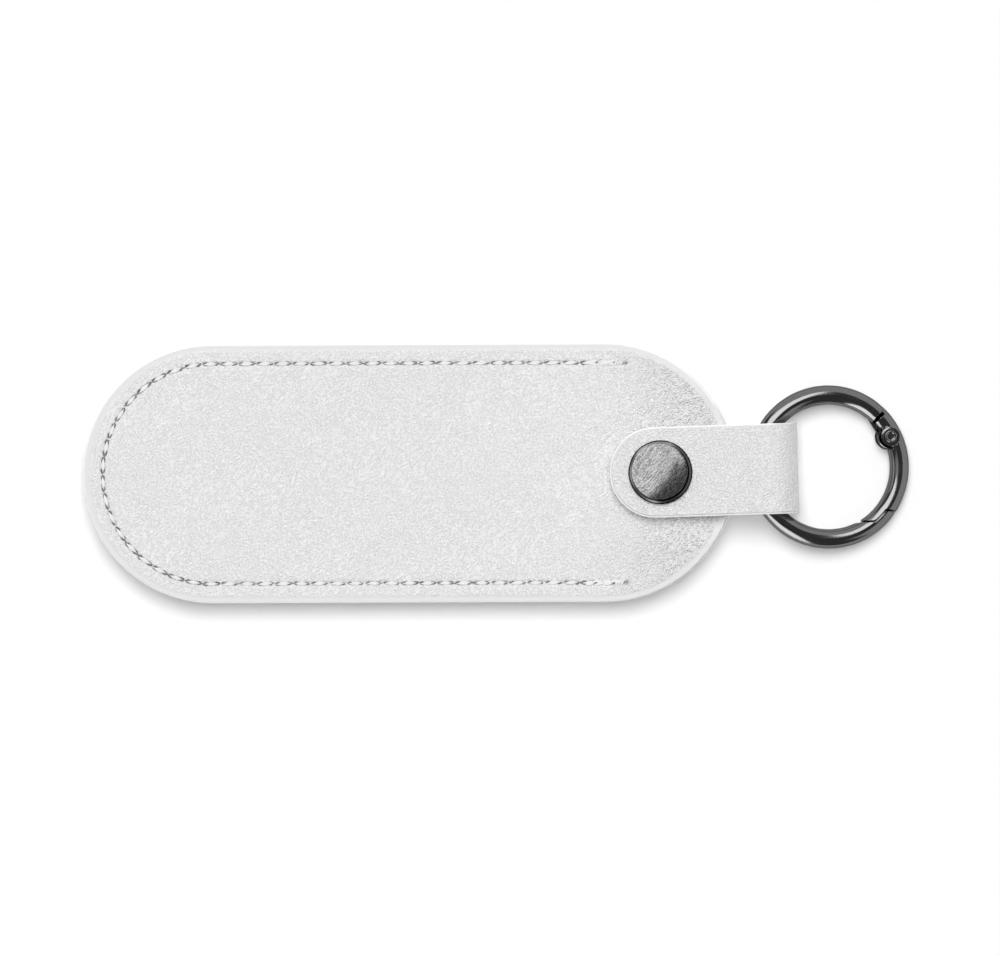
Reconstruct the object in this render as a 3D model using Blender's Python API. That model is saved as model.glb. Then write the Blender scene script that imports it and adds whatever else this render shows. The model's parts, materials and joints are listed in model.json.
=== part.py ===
"""A white faux leather keychain: a flat sewn pouch, a strap that closes its mouth, and a spring-gate ring.

Metres, with +Z up. +X runs from the closed end of the pouch to the ring. The pouch lies flat, parallel
to XY, and the lowest pieces touch z = 0. The strap's pieces are drawn in the strap's own frame, whose
origin is on the press stud's axis and whose +X runs along the strap to the ring.
"""

import math

import bmesh
import bpy
from mathutils import Matrix, Vector

MM = 0.001

# Fits between pieces that touch or turn
LAYER_GAP = 0.2 * MM
SHANK_GAP = 0.2 * MM
CUT_OVERRUN = 1.0 * MM

# Pouch, two flat panels with round ends, sewn together in a U
POUCH_WIDTH = 40.0 * MM
POUCH_STRAIGHT = 61.0 * MM
PANEL_THICKNESS = 1.5 * MM
POCKET_GAP = 0.4 * MM
MOUTH_STEP = 0.4 * MM
PANEL_EDGE_CHAMFER = 0.35 * MM
PANEL_EDGE_STEPS = 2
EDGE_LIMIT = math.radians(60)

# Seam, a lockstitch that lies in a pressed groove on each face
SEAM_INSET = 3.0 * MM
SEAM_RUN_PAST = 1.4 * MM
STITCH_PITCH = 2.8 * MM
THREAD_DIAMETER = 0.5 * MM
THREAD_WAVE = 0.25 * MM
THREAD_GAP = 0.15 * MM
GROOVE_DEPTH = 0.7 * MM

# Strap, wrapped over the mouth with the ring in its fold
SNAP_FROM_MOUTH = 11.8 * MM
STRAP_WIDTH = 14.0 * MM
STRAP_THICKNESS = 1.4 * MM
STRAP_TIP_MARGIN = 0.8 * MM
STRAP_FLAT_MARGIN = 0.65 * MM
STRAP_SPLIT_PAST_MOUTH = 0.2 * MM
STRAP_SPLIT_GAP = 0.3 * MM
STRAP_TURN = math.radians(1.6)

# Press stud: cap, socket and spring on the strap, stud and post on the front panel
SNAP_LIFT = 1.2 * MM
CAP_RADIUS = 4.95 * MM
CAP_DISC_RADIUS = 4.4 * MM
CAP_THICKNESS = 0.95 * MM
CAP_DOME_RISE = 0.25 * MM
CAP_MID_RISE_SHARE = 0.8
CAP_RIM_ROUND = 0.3 * MM
CAP_SHANK_RADIUS = 1.2 * MM
SOCKET_RADIUS = 4.0 * MM
SOCKET_HEIGHT = 1.1 * MM
SOCKET_WEB = 0.4 * MM
SOCKET_BITE = 0.3 * MM
SOCKET_BORE_RADIUS = 2.4 * MM
SOCKET_GROOVE_DEPTH = 0.5 * MM
SOCKET_GROOVE_LIP = 0.15 * MM
SOCKET_SPRING_WIRE = 0.3 * MM
SOCKET_SPRING_OPENING = math.radians(25)
STUD_FLANGE_RADIUS = 3.2 * MM
STUD_FLANGE_THICKNESS = 0.4 * MM
STUD_HEAD_RADIUS = 1.9 * MM
STUD_HEAD_HEIGHT = 0.7 * MM
STUD_SHOULDER_SHARE = 0.65
STUD_NECK_RADIUS = 1.6 * MM
STUD_SHELL = 0.25 * MM
STUD_BITE = 0.2 * MM
POST_FLANGE_RADIUS = 3.0 * MM
POST_FLANGE_THICKNESS = 0.35 * MM
POST_FLANGE_PROUD = 0.05 * MM
POST_SHANK_RADIUS = 0.9 * MM

# Rivet that holds the strap's rear leg to the back panel
RIVET_CAP_RADIUS = 4.0 * MM
RIVET_CAP_THICKNESS = 1.0 * MM
RIVET_CAP_FLAT_RADIUS = 2.6 * MM
RIVET_CAP_RIM_HEIGHT = 0.5 * MM
RIVET_SHANK_RADIUS = 1.2 * MM
RIVET_SHANK_WALL = 0.3 * MM
RIVET_PIN_GAP = 0.15 * MM

# Spring-gate ring
RING_MID_RADIUS = 11.13 * MM
RING_WIRE = 3.0 * MM
RING_FROM_MOUTH = 1.72 * MM
RING_SLACK = 0.42 * MM
RING_SWING_ROOM = 0.56 * MM
RING_DROOP = math.radians(8.5)
GATE_HINGE_ANGLE = math.radians(40.3)
GATE_SLOT_WIDTH = 0.6 * MM
GATE_LIP_WIDTH = 0.86 * MM
GATE_LIP_GAP = 0.2 * MM
GATE_NOSE_ANGLE = math.radians(-40.6)
GATE_TIP_ANGLE = math.radians(-52.8)
GATE_TIP_FOOT = 1.75 * MM
GATE_LAP_OUTWARD = 0.35 * MM
GATE_LATCH_GAP = 0.2 * MM
PIN_ANGLE = math.radians(24.5)
PIN_INWARD = 0.5 * MM
PIN_RADIUS = 0.55 * MM
PIN_HEAD_RADIUS = 0.9 * MM
PIN_HEAD_THICKNESS = 0.2 * MM
PIN_HEAD_GAP = 0.1 * MM
KNUCKLE_RADIUS = 2.26 * MM
KNUCKLE_STEP = 0.2 * MM
KNUCKLE_BOSS_RADIUS = 1.45 * MM
FORK_SLOT = 1.7 * MM
FORK_WALL_GAP = 0.25 * MM
FORK_BACK_WALL = 0.45 * MM
TONGUE_THICKNESS = 0.8 * MM
TONGUE_RADIUS = 1.3 * MM
GATE_SPRING_WIRE = 0.3 * MM
GATE_SPRING_COIL_RADIUS = 0.95 * MM
GATE_SPRING_LEG = 2.4 * MM
GATE_SPRING_CATCH = 0.5 * MM

# Counts of flat sides on the round shapes
ROUND_END_SIDES = 40
TURNED_SIDES = 40
RING_SIDES = 72
WIRE_SIDES = 16
FOLD_SIDES = 18
TIP_SIDES = 8
LEG_STEPS = 6
THREAD_SIDES = 5
POINTS_PER_STITCH = 4
SMALL_WIRE_SIDES = 8
SMOOTH_LIMIT = math.radians(35)

# Heights of the layers on the press stud's axis, from the table up
RIVET_CAP_TOP = RIVET_CAP_THICKNESS
REAR_LEG_BOTTOM = RIVET_CAP_TOP + LAYER_GAP
REAR_LEG_TOP = REAR_LEG_BOTTOM + STRAP_THICKNESS
BACK_PANEL_BOTTOM = REAR_LEG_TOP + LAYER_GAP
BACK_PANEL_TOP = BACK_PANEL_BOTTOM + PANEL_THICKNESS
FRONT_PANEL_BOTTOM = BACK_PANEL_TOP + POCKET_GAP
FRONT_PANEL_TOP = FRONT_PANEL_BOTTOM + PANEL_THICKNESS
FRONT_LEG_BOTTOM = FRONT_PANEL_TOP + SNAP_LIFT
FRONT_LEG_TOP = FRONT_LEG_BOTTOM + STRAP_THICKNESS

# Reaches along the strap from the press stud: the ring clears the mouth, and the fold clears the ring
RING_OUTER_RADIUS = RING_MID_RADIUS + RING_WIRE / 2
RING_INNER_RADIUS = RING_MID_RADIUS - RING_WIRE / 2
RING_FROM_SNAP = SNAP_FROM_MOUTH + RING_FROM_MOUTH + RING_OUTER_RADIUS
RING_DEPTH_IN_FOLD = RING_OUTER_RADIUS - math.sqrt(RING_INNER_RADIUS**2 - (STRAP_WIDTH / 2) ** 2)
FOLD_INNER_RADIUS = (RING_DEPTH_IN_FOLD + RING_SLACK + RING_SWING_ROOM) / 2
FOLD_OUTER_RADIUS = FOLD_INNER_RADIUS + STRAP_THICKNESS
FOLD_INNER_REACH = SNAP_FROM_MOUTH + RING_FROM_MOUTH + RING_DEPTH_IN_FOLD + RING_SLACK
FOLD_CENTRE_REACH = FOLD_INNER_REACH - FOLD_INNER_RADIUS
FOLD_CENTRE_HEIGHT = FOLD_OUTER_RADIUS
STRAP_TIP_REACH = STRAP_WIDTH / 2 + STRAP_TIP_MARGIN
STRAP_FLAT_REACH = CAP_RADIUS + STRAP_FLAT_MARGIN
STRAP_SPLIT_REACH = SNAP_FROM_MOUTH + STRAP_SPLIT_PAST_MOUTH

# Plan of the pouch and of the ring, with the origin midway between the closed end and the ring's far side
ROUND_RADIUS = POUCH_WIDTH / 2
RING_FROM_HINGE = RING_FROM_SNAP - FOLD_CENTRE_REACH
RING_LEAN = math.sin(RING_DROOP) * math.cos(STRAP_TURN)
RING_SPREAD = RING_MID_RADIUS * math.sqrt(1 - RING_LEAN**2) + RING_WIRE / 2
RING_CENTRE_AHEAD = (FOLD_CENTRE_REACH + RING_FROM_HINGE * math.cos(RING_DROOP)) * math.cos(STRAP_TURN)
SNAP_FROM_CLOSED_END = POUCH_WIDTH + POUCH_STRAIGHT - SNAP_FROM_MOUTH
OVERALL_LENGTH = SNAP_FROM_CLOSED_END + RING_CENTRE_AHEAD + RING_SPREAD
CLOSED_END_X = ROUND_RADIUS - OVERALL_LENGTH / 2
MOUTH_END_X = CLOSED_END_X + POUCH_STRAIGHT
SNAP_X = SNAP_FROM_CLOSED_END - OVERALL_LENGTH / 2


def clear_scene():
    for old in list(bpy.data.objects):
        bpy.data.objects.remove(old)


def principled(name, colour, metallic, roughness):
    """A plain material with the colour, metal and gloss that the photograph shows."""
    material = bpy.data.materials.new(name)
    material.use_nodes = True
    shader = material.node_tree.nodes["Principled BSDF"]
    shader.inputs["Base Color"].default_value = (*colour, 1)
    shader.inputs["Metallic"].default_value = metallic
    shader.inputs["Roughness"].default_value = roughness
    material.diffuse_color = (*colour, 1)
    return material


def pivot(name, location, rotation=(0, 0, 0), parent=None):
    """An empty on a joint's axis, which carries the pieces that turn about it."""
    empty = bpy.data.objects.new(name, None)
    empty.location = location
    empty.rotation_euler = rotation
    empty.parent = parent
    bpy.context.scene.collection.objects.link(empty)
    return empty


def place(name, mesh, material=None, carrier=None, origin=(0, 0, 0)):
    """Links a mesh as an object. Its points are measured from `origin`, in the carrier's frame."""
    obj = bpy.data.objects.new(name, mesh)
    obj.location = origin
    obj.parent = carrier
    bpy.context.scene.collection.objects.link(obj)
    if material:
        mesh.materials.append(material)
    else:
        obj.hide_render = True
        obj.display_type = "WIRE"
    return obj


def mesh_from(bm, name):
    bmesh.ops.recalc_face_normals(bm, faces=bm.faces)
    mesh = bpy.data.meshes.new(name)
    bm.to_mesh(mesh)
    bm.free()
    mesh.shade_smooth()
    mesh.set_sharp_from_angle(angle=SMOOTH_LIMIT)
    return mesh


def slab(name, outline, bottom, top):
    """A flat closed solid from a list of (x, y) points."""
    bm = bmesh.new()
    face = bm.faces.new([bm.verts.new((x, y, bottom)) for x, y in outline])
    raised = bmesh.ops.extrude_face_region(bm, geom=[face])["geom"]
    rim = [item for item in raised if isinstance(item, bmesh.types.BMVert)]
    bmesh.ops.translate(bm, verts=rim, vec=(0, 0, top - bottom))
    return mesh_from(bm, name)


def turned(name, profile, material=None, carrier=None, origin=(0, 0, 0), closed=False, sides=TURNED_SIDES):
    """A solid turned about Z. The (radius, z) profile runs down its outer side; a closed one makes a ring."""
    mesh = bpy.data.meshes.new(name)
    last = len(profile) if closed else len(profile) - 1
    edges = [(i, (i + 1) % len(profile)) for i in range(last)]
    mesh.from_pydata([(radius, 0, z) for radius, z in profile], edges, [])
    obj = place(name, mesh, material, carrier, origin)
    screw = obj.modifiers.new("Turn", "SCREW")
    screw.steps = screw.render_steps = sides
    screw.use_merge_vertices = True
    screw.merge_threshold = 0.000001
    screw.use_smooth_shade = True
    return obj


def boolean(target, tool, operation="DIFFERENCE"):
    """Cuts, joins or keeps the common part with another object, which is then only a guide."""
    modifier = target.modifiers.new(operation.title(), "BOOLEAN")
    modifier.operation = operation
    modifier.object = tool
    tool.hide_render = True
    tool.display_type = "WIRE"


def tube(name, points, radius, sides):
    """A closed round tube through points whose run is never vertical."""
    bm = bmesh.new()
    rings = []
    for i, point in enumerate(points):
        ahead = points[min(i + 1, len(points) - 1)] - points[max(i - 1, 0)]
        side = ahead.cross(Vector((0, 0, 1))).normalized()
        up = side.cross(ahead).normalized()
        turns = [2 * math.pi * k / sides for k in range(sides)]
        ring = [bm.verts.new(point + radius * (math.cos(a) * side + math.sin(a) * up)) for a in turns]
        rings.append(ring)
    for ring, following in zip(rings, rings[1:]):
        for k in range(sides):
            beside = (k + 1) % sides
            bm.faces.new((ring[k], ring[beside], following[beside], following[k]))
    bm.faces.new(rings[0])
    bm.faces.new(rings[-1])
    return mesh_from(bm, name)


def arc(centre, radius, start, end, steps):
    """Points on an arc, both ends included."""
    turns = [start + (end - start) * i / steps for i in range(steps + 1)]
    return [(centre[0] + radius * math.cos(a), centre[1] + radius * math.sin(a)) for a in turns]


def stadium(left, right, radius, sides=ROUND_END_SIDES):
    """Two round ends, centred at x = left and x = right, joined by straight edges."""
    quarter = math.pi / 2
    near_ring = arc((right, 0), radius, -quarter, quarter, sides)
    closed_end = arc((left, 0), radius, quarter, 3 * quarter, sides)
    return near_ring + closed_end


def seam_point(distance, inset):
    """The plan point, `distance` along the U from its upper right end, on a line `inset` from the edge."""
    radius = ROUND_RADIUS - inset
    straight = POUCH_STRAIGHT + SEAM_RUN_PAST
    bend = math.pi * radius
    if distance <= straight:
        return (MOUTH_END_X + SEAM_RUN_PAST - distance, radius)
    if distance <= straight + bend:
        turn = (distance - straight) / radius
        return (CLOSED_END_X - radius * math.sin(turn), radius * math.cos(turn))
    return (CLOSED_END_X + distance - straight - bend, -radius)


def seam_length(inset):
    return 2 * (POUCH_STRAIGHT + SEAM_RUN_PAST) + math.pi * (ROUND_RADIUS - inset)


def seam_groove(name, bottom, top):
    """A guide for the pressed groove that the thread lies in, closed at both ends of the U."""
    half = THREAD_DIAMETER / 2 + THREAD_GAP
    centre = ROUND_RADIUS - SEAM_INSET
    outer_end = MOUTH_END_X + SEAM_RUN_PAST + half
    quarter = math.pi / 2
    outer = arc((CLOSED_END_X, 0), centre + half, quarter, 3 * quarter, ROUND_END_SIDES)
    inner = arc((CLOSED_END_X, 0), centre - half, 3 * quarter, quarter, ROUND_END_SIDES)
    upper_end = [(outer_end, centre - half), (outer_end, centre + half)]
    lower_end = [(outer_end, -centre - half), (outer_end, half - centre)]
    return place(name, slab(name, upper_end + outer + lower_end + inner, bottom, top))


def add_panel(name, right, bottom, material):
    """One panel of the pouch, with its cut edges eased."""
    outline = stadium(CLOSED_END_X, right, ROUND_RADIUS)
    panel = place(name, slab(name, outline, bottom, bottom + PANEL_THICKNESS), material)
    ease = panel.modifiers.new("Eased edge", "BEVEL")
    ease.width = PANEL_EDGE_CHAMFER
    ease.segments = PANEL_EDGE_STEPS
    ease.angle_limit = EDGE_LIMIT
    return panel


def add_pouch(leather):
    """The two panels, each with its seam groove and its seats for the metal pieces."""
    front = add_panel("front_panel", MOUTH_END_X - MOUTH_STEP, FRONT_PANEL_BOTTOM, leather)
    back = add_panel("back_panel", MOUTH_END_X, BACK_PANEL_BOTTOM, leather)
    front_floor = FRONT_PANEL_TOP - GROOVE_DEPTH
    back_floor = BACK_PANEL_BOTTOM + GROOVE_DEPTH
    boolean(front, seam_groove("front_groove_guide", front_floor, FRONT_PANEL_TOP + CUT_OVERRUN))
    boolean(back, seam_groove("back_groove_guide", BACK_PANEL_BOTTOM - CUT_OVERRUN, back_floor))

    hole = POST_SHANK_RADIUS + SHANK_GAP
    stud_seat = STUD_FLANGE_RADIUS + SHANK_GAP
    post_seat = POST_FLANGE_RADIUS + SHANK_GAP
    stud_floor = FRONT_PANEL_TOP - STUD_BITE - LAYER_GAP
    post_ceiling = FRONT_PANEL_BOTTOM + POST_FLANGE_THICKNESS - POST_FLANGE_PROUD + LAYER_GAP
    above = FRONT_PANEL_TOP + CUT_OVERRUN
    inside = FRONT_PANEL_BOTTOM - POCKET_GAP / 2
    outer_step = [(0, above), (stud_seat, above), (stud_seat, stud_floor), (hole, stud_floor)]
    inner_step = [(hole, post_ceiling), (post_seat, post_ceiling), (post_seat, inside), (0, inside)]
    boolean(front, turned("stud_seat_guide", outer_step + inner_step, origin=(SNAP_X, 0, 0)))

    hole = RIVET_SHANK_RADIUS + SHANK_GAP
    flange_floor = BACK_PANEL_TOP - POST_FLANGE_THICKNESS + POST_FLANGE_PROUD - LAYER_GAP
    inside = BACK_PANEL_TOP + POCKET_GAP / 2
    below = BACK_PANEL_BOTTOM - CUT_OVERRUN
    outer_step = [(0, inside), (post_seat, inside), (post_seat, flange_floor), (hole, flange_floor)]
    boolean(back, turned("rivet_seat_guide", outer_step + [(hole, below), (0, below)], origin=(SNAP_X, 0, 0)))


def add_thread(name, groove_floor, out, material):
    """One thread of the lockstitch: it rises at each stitch and dips at each needle hole."""
    length = seam_length(SEAM_INSET)
    count = round(length / STITCH_PITCH)
    low = groove_floor + out * (THREAD_GAP + THREAD_DIAMETER / 2)
    points = []
    for i in range(count * POINTS_PER_STITCH + 1):
        share = i / (count * POINTS_PER_STITCH)
        x, y = seam_point(share * length, SEAM_INSET)
        rise = THREAD_WAVE * (1 - math.cos(2 * math.pi * share * count)) / 2
        points.append(Vector((x, y, low + out * rise)))
    place(name, tube(name, points, THREAD_DIAMETER / 2, THREAD_SIDES), material)


def eased(reach, flat, level):
    """Height and slope of a strap leg's middle: flat by the stud, then level with the fold."""
    share = min(max((reach - STRAP_FLAT_REACH) / (FOLD_CENTRE_REACH - STRAP_FLAT_REACH), 0), 1)
    height = flat + (level - flat) * share**2 * (3 - 2 * share)
    slope = (level - flat) * 6 * share * (1 - share) / (FOLD_CENTRE_REACH - STRAP_FLAT_REACH)
    return height, slope


def leg_station(reach, flat, level, half_width):
    """One cross line of a strap leg: place, height, tilt and half width."""
    height, slope = eased(reach, flat, level)
    return (reach, height, math.atan(slope), half_width)


def tip_stations(flat, level):
    """The round tip of a leg, from its end to its full width."""
    radius = STRAP_WIDTH / 2
    stations = []
    for i in range(TIP_SIDES):
        turn = math.pi / 2 * (i + 0.5) / TIP_SIDES
        reach = radius - STRAP_TIP_REACH - radius * math.cos(turn)
        stations.append(leg_station(reach, flat, level, radius * math.sin(turn)))
    return stations


def run_stations(start, end, flat, level):
    """A leg at full width between two reaches."""
    steps = [start + (end - start) * i / LEG_STEPS for i in range(LEG_STEPS + 1)]
    return [leg_station(reach, flat, level, STRAP_WIDTH / 2) for reach in steps]


def strap_sheet(name, stations):
    """A closed sheet of the strap's thickness through cross lines in the strap's frame."""
    bm = bmesh.new()
    rows = []
    for reach, height, tilt, half in stations:
        lift = Vector((-math.sin(tilt), 0, math.cos(tilt))) * STRAP_THICKNESS / 2
        middle = Vector((reach, 0, height))
        wide = Vector((0, half, 0))
        corners = (middle + lift - wide, middle + lift + wide, middle - lift + wide, middle - lift - wide)
        rows.append([bm.verts.new(corner) for corner in corners])
    for row, following in zip(rows, rows[1:]):
        for k in range(4):
            beside = (k + 1) % 4
            bm.faces.new((row[k], row[beside], following[beside], following[k]))
    bm.faces.new(rows[0])
    bm.faces.new(rows[-1])
    return mesh_from(bm, name)


def front_leg_middle():
    """The middle height of the front leg at the stud, and level with the fold's top."""
    half = STRAP_THICKNESS / 2
    return FRONT_LEG_BOTTOM + half, FOLD_CENTRE_HEIGHT + FOLD_INNER_RADIUS + half


def rear_leg_middle():
    """The middle height of the rear leg at the rivet, and level with the fold's foot."""
    half = STRAP_THICKNESS / 2
    return REAR_LEG_BOTTOM + half, FOLD_CENTRE_HEIGHT - FOLD_INNER_RADIUS - half


def flap_axis():
    """Reach and height of the line on the strap's outer face about which its front leg lifts."""
    flat, level = front_leg_middle()
    height, slope = eased(STRAP_SPLIT_REACH, flat, level)
    tilt = math.atan(slope)
    half = STRAP_THICKNESS / 2
    return STRAP_SPLIT_REACH - half * math.sin(tilt), height + half * math.cos(tilt)


def add_strap_flap(leather, hinge, origin):
    """The front leg, from its round tip to its bend, with the cap's hole and the socket's seat."""
    flat, level = front_leg_middle()
    radius = STRAP_WIDTH / 2
    start = radius - STRAP_TIP_REACH
    end = STRAP_SPLIT_REACH - STRAP_SPLIT_GAP / 2
    stations = tip_stations(flat, level) + run_stations(start, end, flat, level)
    flap = place("strap_flap", strap_sheet("strap_flap", stations), leather, hinge, origin)
    hole = CAP_SHANK_RADIUS + SHANK_GAP
    seat = SOCKET_RADIUS + SHANK_GAP
    ceiling = FRONT_LEG_BOTTOM + SOCKET_BITE + LAYER_GAP
    above = FRONT_LEG_TOP + CUT_OVERRUN
    below = FRONT_LEG_BOTTOM - CUT_OVERRUN
    profile = [(0, above), (hole, above), (hole, ceiling), (seat, ceiling), (seat, below), (0, below)]
    boolean(flap, turned("socket_seat_guide", profile, carrier=hinge, origin=origin))


def add_strap_loop(leather, swivel):
    """The rest of the strap: over the mouth, round the ring and back along the rear of the pouch."""
    front = front_leg_middle()
    rear = rear_leg_middle()
    radius = FOLD_OUTER_RADIUS - STRAP_THICKNESS / 2
    stations = run_stations(STRAP_SPLIT_REACH + STRAP_SPLIT_GAP / 2, FOLD_CENTRE_REACH, *front)
    for i in range(1, FOLD_SIDES):
        turn = math.pi * i / FOLD_SIDES
        reach = FOLD_CENTRE_REACH + radius * math.sin(turn)
        height = FOLD_CENTRE_HEIGHT + radius * math.cos(turn)
        stations.append((reach, height, -turn, STRAP_WIDTH / 2))
    backward = run_stations(FOLD_CENTRE_REACH, STRAP_WIDTH / 2 - STRAP_TIP_REACH, *rear)
    tip = list(reversed(tip_stations(*rear)))
    stations += [(reach, height, tilt - math.pi, half) for reach, height, tilt, half in backward + tip]
    loop = place("strap_loop", strap_sheet("strap_loop", stations), leather, swivel)
    hole = RIVET_SHANK_RADIUS + SHANK_GAP
    above = REAR_LEG_TOP + CUT_OVERRUN
    below = REAR_LEG_BOTTOM - CUT_OVERRUN
    profile = [(0, above), (hole, above), (hole, below), (0, below)]
    boolean(loop, turned("rivet_hole_guide", profile, carrier=swivel))


def add_snap_upper(metal, steel, hinge, origin):
    """Cap, socket and socket spring, which lift with the front leg."""
    base = FRONT_LEG_TOP + LAYER_GAP
    rim = base + CAP_THICKNESS
    web_top = FRONT_LEG_BOTTOM + SOCKET_BITE
    web_bottom = web_top - SOCKET_WEB
    mouth = web_top - SOCKET_HEIGHT
    middle = rim + CAP_DOME_RISE * CAP_MID_RISE_SHARE
    cap = [(0, rim + CAP_DOME_RISE), (CAP_DISC_RADIUS / 2, middle), (CAP_DISC_RADIUS, rim)]
    cap += [(CAP_RADIUS - CAP_RIM_ROUND, rim), (CAP_RADIUS, rim - CAP_RIM_ROUND), (CAP_RADIUS, base)]
    cap += [(CAP_SHANK_RADIUS, base), (CAP_SHANK_RADIUS, web_bottom), (0, web_bottom)]
    turned("snap_cap", cap, metal, hinge, origin)

    groove = SOCKET_BORE_RADIUS + SOCKET_GROOVE_DEPTH
    groove_top = web_bottom - SOCKET_GROOVE_LIP
    groove_bottom = mouth + SOCKET_GROOVE_LIP
    hole = CAP_SHANK_RADIUS + SHANK_GAP
    socket = [(hole, web_top), (SOCKET_RADIUS, web_top), (SOCKET_RADIUS, mouth), (SOCKET_BORE_RADIUS, mouth)]
    socket += [(SOCKET_BORE_RADIUS, groove_bottom), (groove, groove_bottom), (groove, groove_top)]
    socket += [(SOCKET_BORE_RADIUS, groove_top), (SOCKET_BORE_RADIUS, web_bottom), (hole, web_bottom)]
    turned("snap_socket", socket, metal, hinge, origin, closed=True)

    height = (groove_top + groove_bottom) / 2
    radius = SOCKET_BORE_RADIUS + SOCKET_SPRING_WIRE / 2
    route = arc((0, 0), radius, SOCKET_SPRING_OPENING, 2 * math.pi - SOCKET_SPRING_OPENING, TURNED_SIDES)
    points = [Vector((x, y, height)) for x, y in route]
    spring = tube("snap_spring", points, SOCKET_SPRING_WIRE / 2, SMALL_WIRE_SIDES)
    place("snap_spring", spring, steel, hinge, origin)


def add_snap_lower(metal):
    """Stud on the front panel, and the post that holds it from inside the pocket."""
    base = FRONT_PANEL_TOP - STUD_BITE
    flange = base + STUD_FLANGE_THICKNESS
    top = flange + STUD_HEAD_HEIGHT
    bore = POST_SHANK_RADIUS + SHANK_GAP
    ceiling = top - STUD_SHELL
    shoulder = flange + STUD_HEAD_HEIGHT * STUD_SHOULDER_SHARE
    stud = [(0, top), (STUD_NECK_RADIUS, top), (STUD_HEAD_RADIUS, shoulder), (STUD_NECK_RADIUS, flange)]
    stud += [(STUD_FLANGE_RADIUS, flange), (STUD_FLANGE_RADIUS, base)]
    stud += [(bore, base), (bore, ceiling), (0, ceiling)]
    turned("snap_stud", stud, metal, origin=(SNAP_X, 0, 0))

    flange_bottom = FRONT_PANEL_BOTTOM - POST_FLANGE_PROUD
    flange_top = flange_bottom + POST_FLANGE_THICKNESS
    end = ceiling - SHANK_GAP
    post = [(0, end), (POST_SHANK_RADIUS, end), (POST_SHANK_RADIUS, flange_top)]
    post += [(POST_FLANGE_RADIUS, flange_top), (POST_FLANGE_RADIUS, flange_bottom), (0, flange_bottom)]
    turned("snap_post", post, metal, origin=(SNAP_X, 0, 0))


def add_rear_rivet(metal, swivel):
    """Cap with a hollow shank under the strap's rear leg, and the pin that closes it inside the pocket."""
    flange_top = BACK_PANEL_TOP + POST_FLANGE_PROUD
    flange_bottom = flange_top - POST_FLANGE_THICKNESS
    shank_end = flange_bottom - SHANK_GAP
    bore = RIVET_SHANK_RADIUS - RIVET_SHANK_WALL
    cap = [(bore, shank_end), (RIVET_SHANK_RADIUS, shank_end), (RIVET_SHANK_RADIUS, RIVET_CAP_TOP)]
    cap += [(RIVET_CAP_RADIUS, RIVET_CAP_TOP), (RIVET_CAP_RADIUS, RIVET_CAP_RIM_HEIGHT)]
    cap += [(RIVET_CAP_FLAT_RADIUS, 0), (0, 0)]
    turned("rear_rivet_cap", [(0, RIVET_CAP_TOP), (bore, RIVET_CAP_TOP)] + cap, metal, swivel)

    pin = bore - RIVET_PIN_GAP
    end = RIVET_CAP_TOP + SHANK_GAP
    post = [(0, flange_top), (POST_FLANGE_RADIUS, flange_top), (POST_FLANGE_RADIUS, flange_bottom)]
    post += [(pin, flange_bottom), (pin, end), (0, end)]
    turned("rear_rivet_post", post, metal, swivel)


def torus_profile():
    """The ring's wire as a closed profile that runs down its outer side."""
    radius = RING_WIRE / 2
    turns = [math.pi / 2 - 2 * math.pi * i / WIRE_SIDES for i in range(WIRE_SIDES)]
    return [(RING_MID_RADIUS + radius * math.cos(a), radius * math.sin(a)) for a in turns]


def pin_place():
    radius = RING_MID_RADIUS - PIN_INWARD
    return Vector((radius * math.cos(PIN_ANGLE), radius * math.sin(PIN_ANGLE), 0))


def gate_outline(slot, gap, foot, lip=0):
    """The gate's part of the ring in plan, with a slot at the hinge and a gap at the lap.

    The two short faces of the lap run along the gate's swing, so that it slides out of the frame's nose.
    The lip is how far the gate's outer side reaches into the slot.
    """
    outer = RING_OUTER_RADIUS + CUT_OVERRUN
    inner = RING_INNER_RADIUS - CUT_OVERRUN
    lap = RING_MID_RADIUS + GATE_LAP_OUTWARD
    nose = Vector((lap * math.cos(GATE_NOSE_ANGLE), lap * math.sin(GATE_NOSE_ANGLE)))
    to_pin = (pin_place().to_2d() - nose).normalized()
    outward = Vector((to_pin.y, -to_pin.x))
    overlap = arc(to_pin * gap, lap - gap / 2, GATE_TIP_ANGLE, GATE_NOSE_ANGLE, TIP_SIDES)
    nose_end = Vector(overlap[-1]) + outward * RING_WIRE
    foot_end = Vector(overlap[0]) - outward * foot
    hinge = GATE_HINGE_ANGLE - slot / RING_MID_RADIUS
    start = math.atan2(nose_end.y, nose_end.x)
    end = math.atan2(foot_end.y, foot_end.x)
    lip_end = hinge + lip / RING_MID_RADIUS
    outside = arc((0, 0), outer, start, lip_end, RING_SIDES // 4)
    if lip:
        outside += arc((0, 0), RING_OUTER_RADIUS - GATE_LIP_WIDTH, lip_end, hinge, 1)
    inside = arc((0, 0), inner, hinge, end, RING_SIDES // 4)
    return [tuple(nose_end)] + outside + inside + [tuple(foot_end)] + overlap


def disc_guide(name, centre, radius, half_height, carrier, origin):
    """A round bar along the ring's normal, used to cut a hole."""
    profile = [(0, half_height), (radius, half_height), (radius, -half_height), (0, -half_height)]
    return turned(name, profile, carrier=carrier, origin=Vector(origin) + centre)


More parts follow.
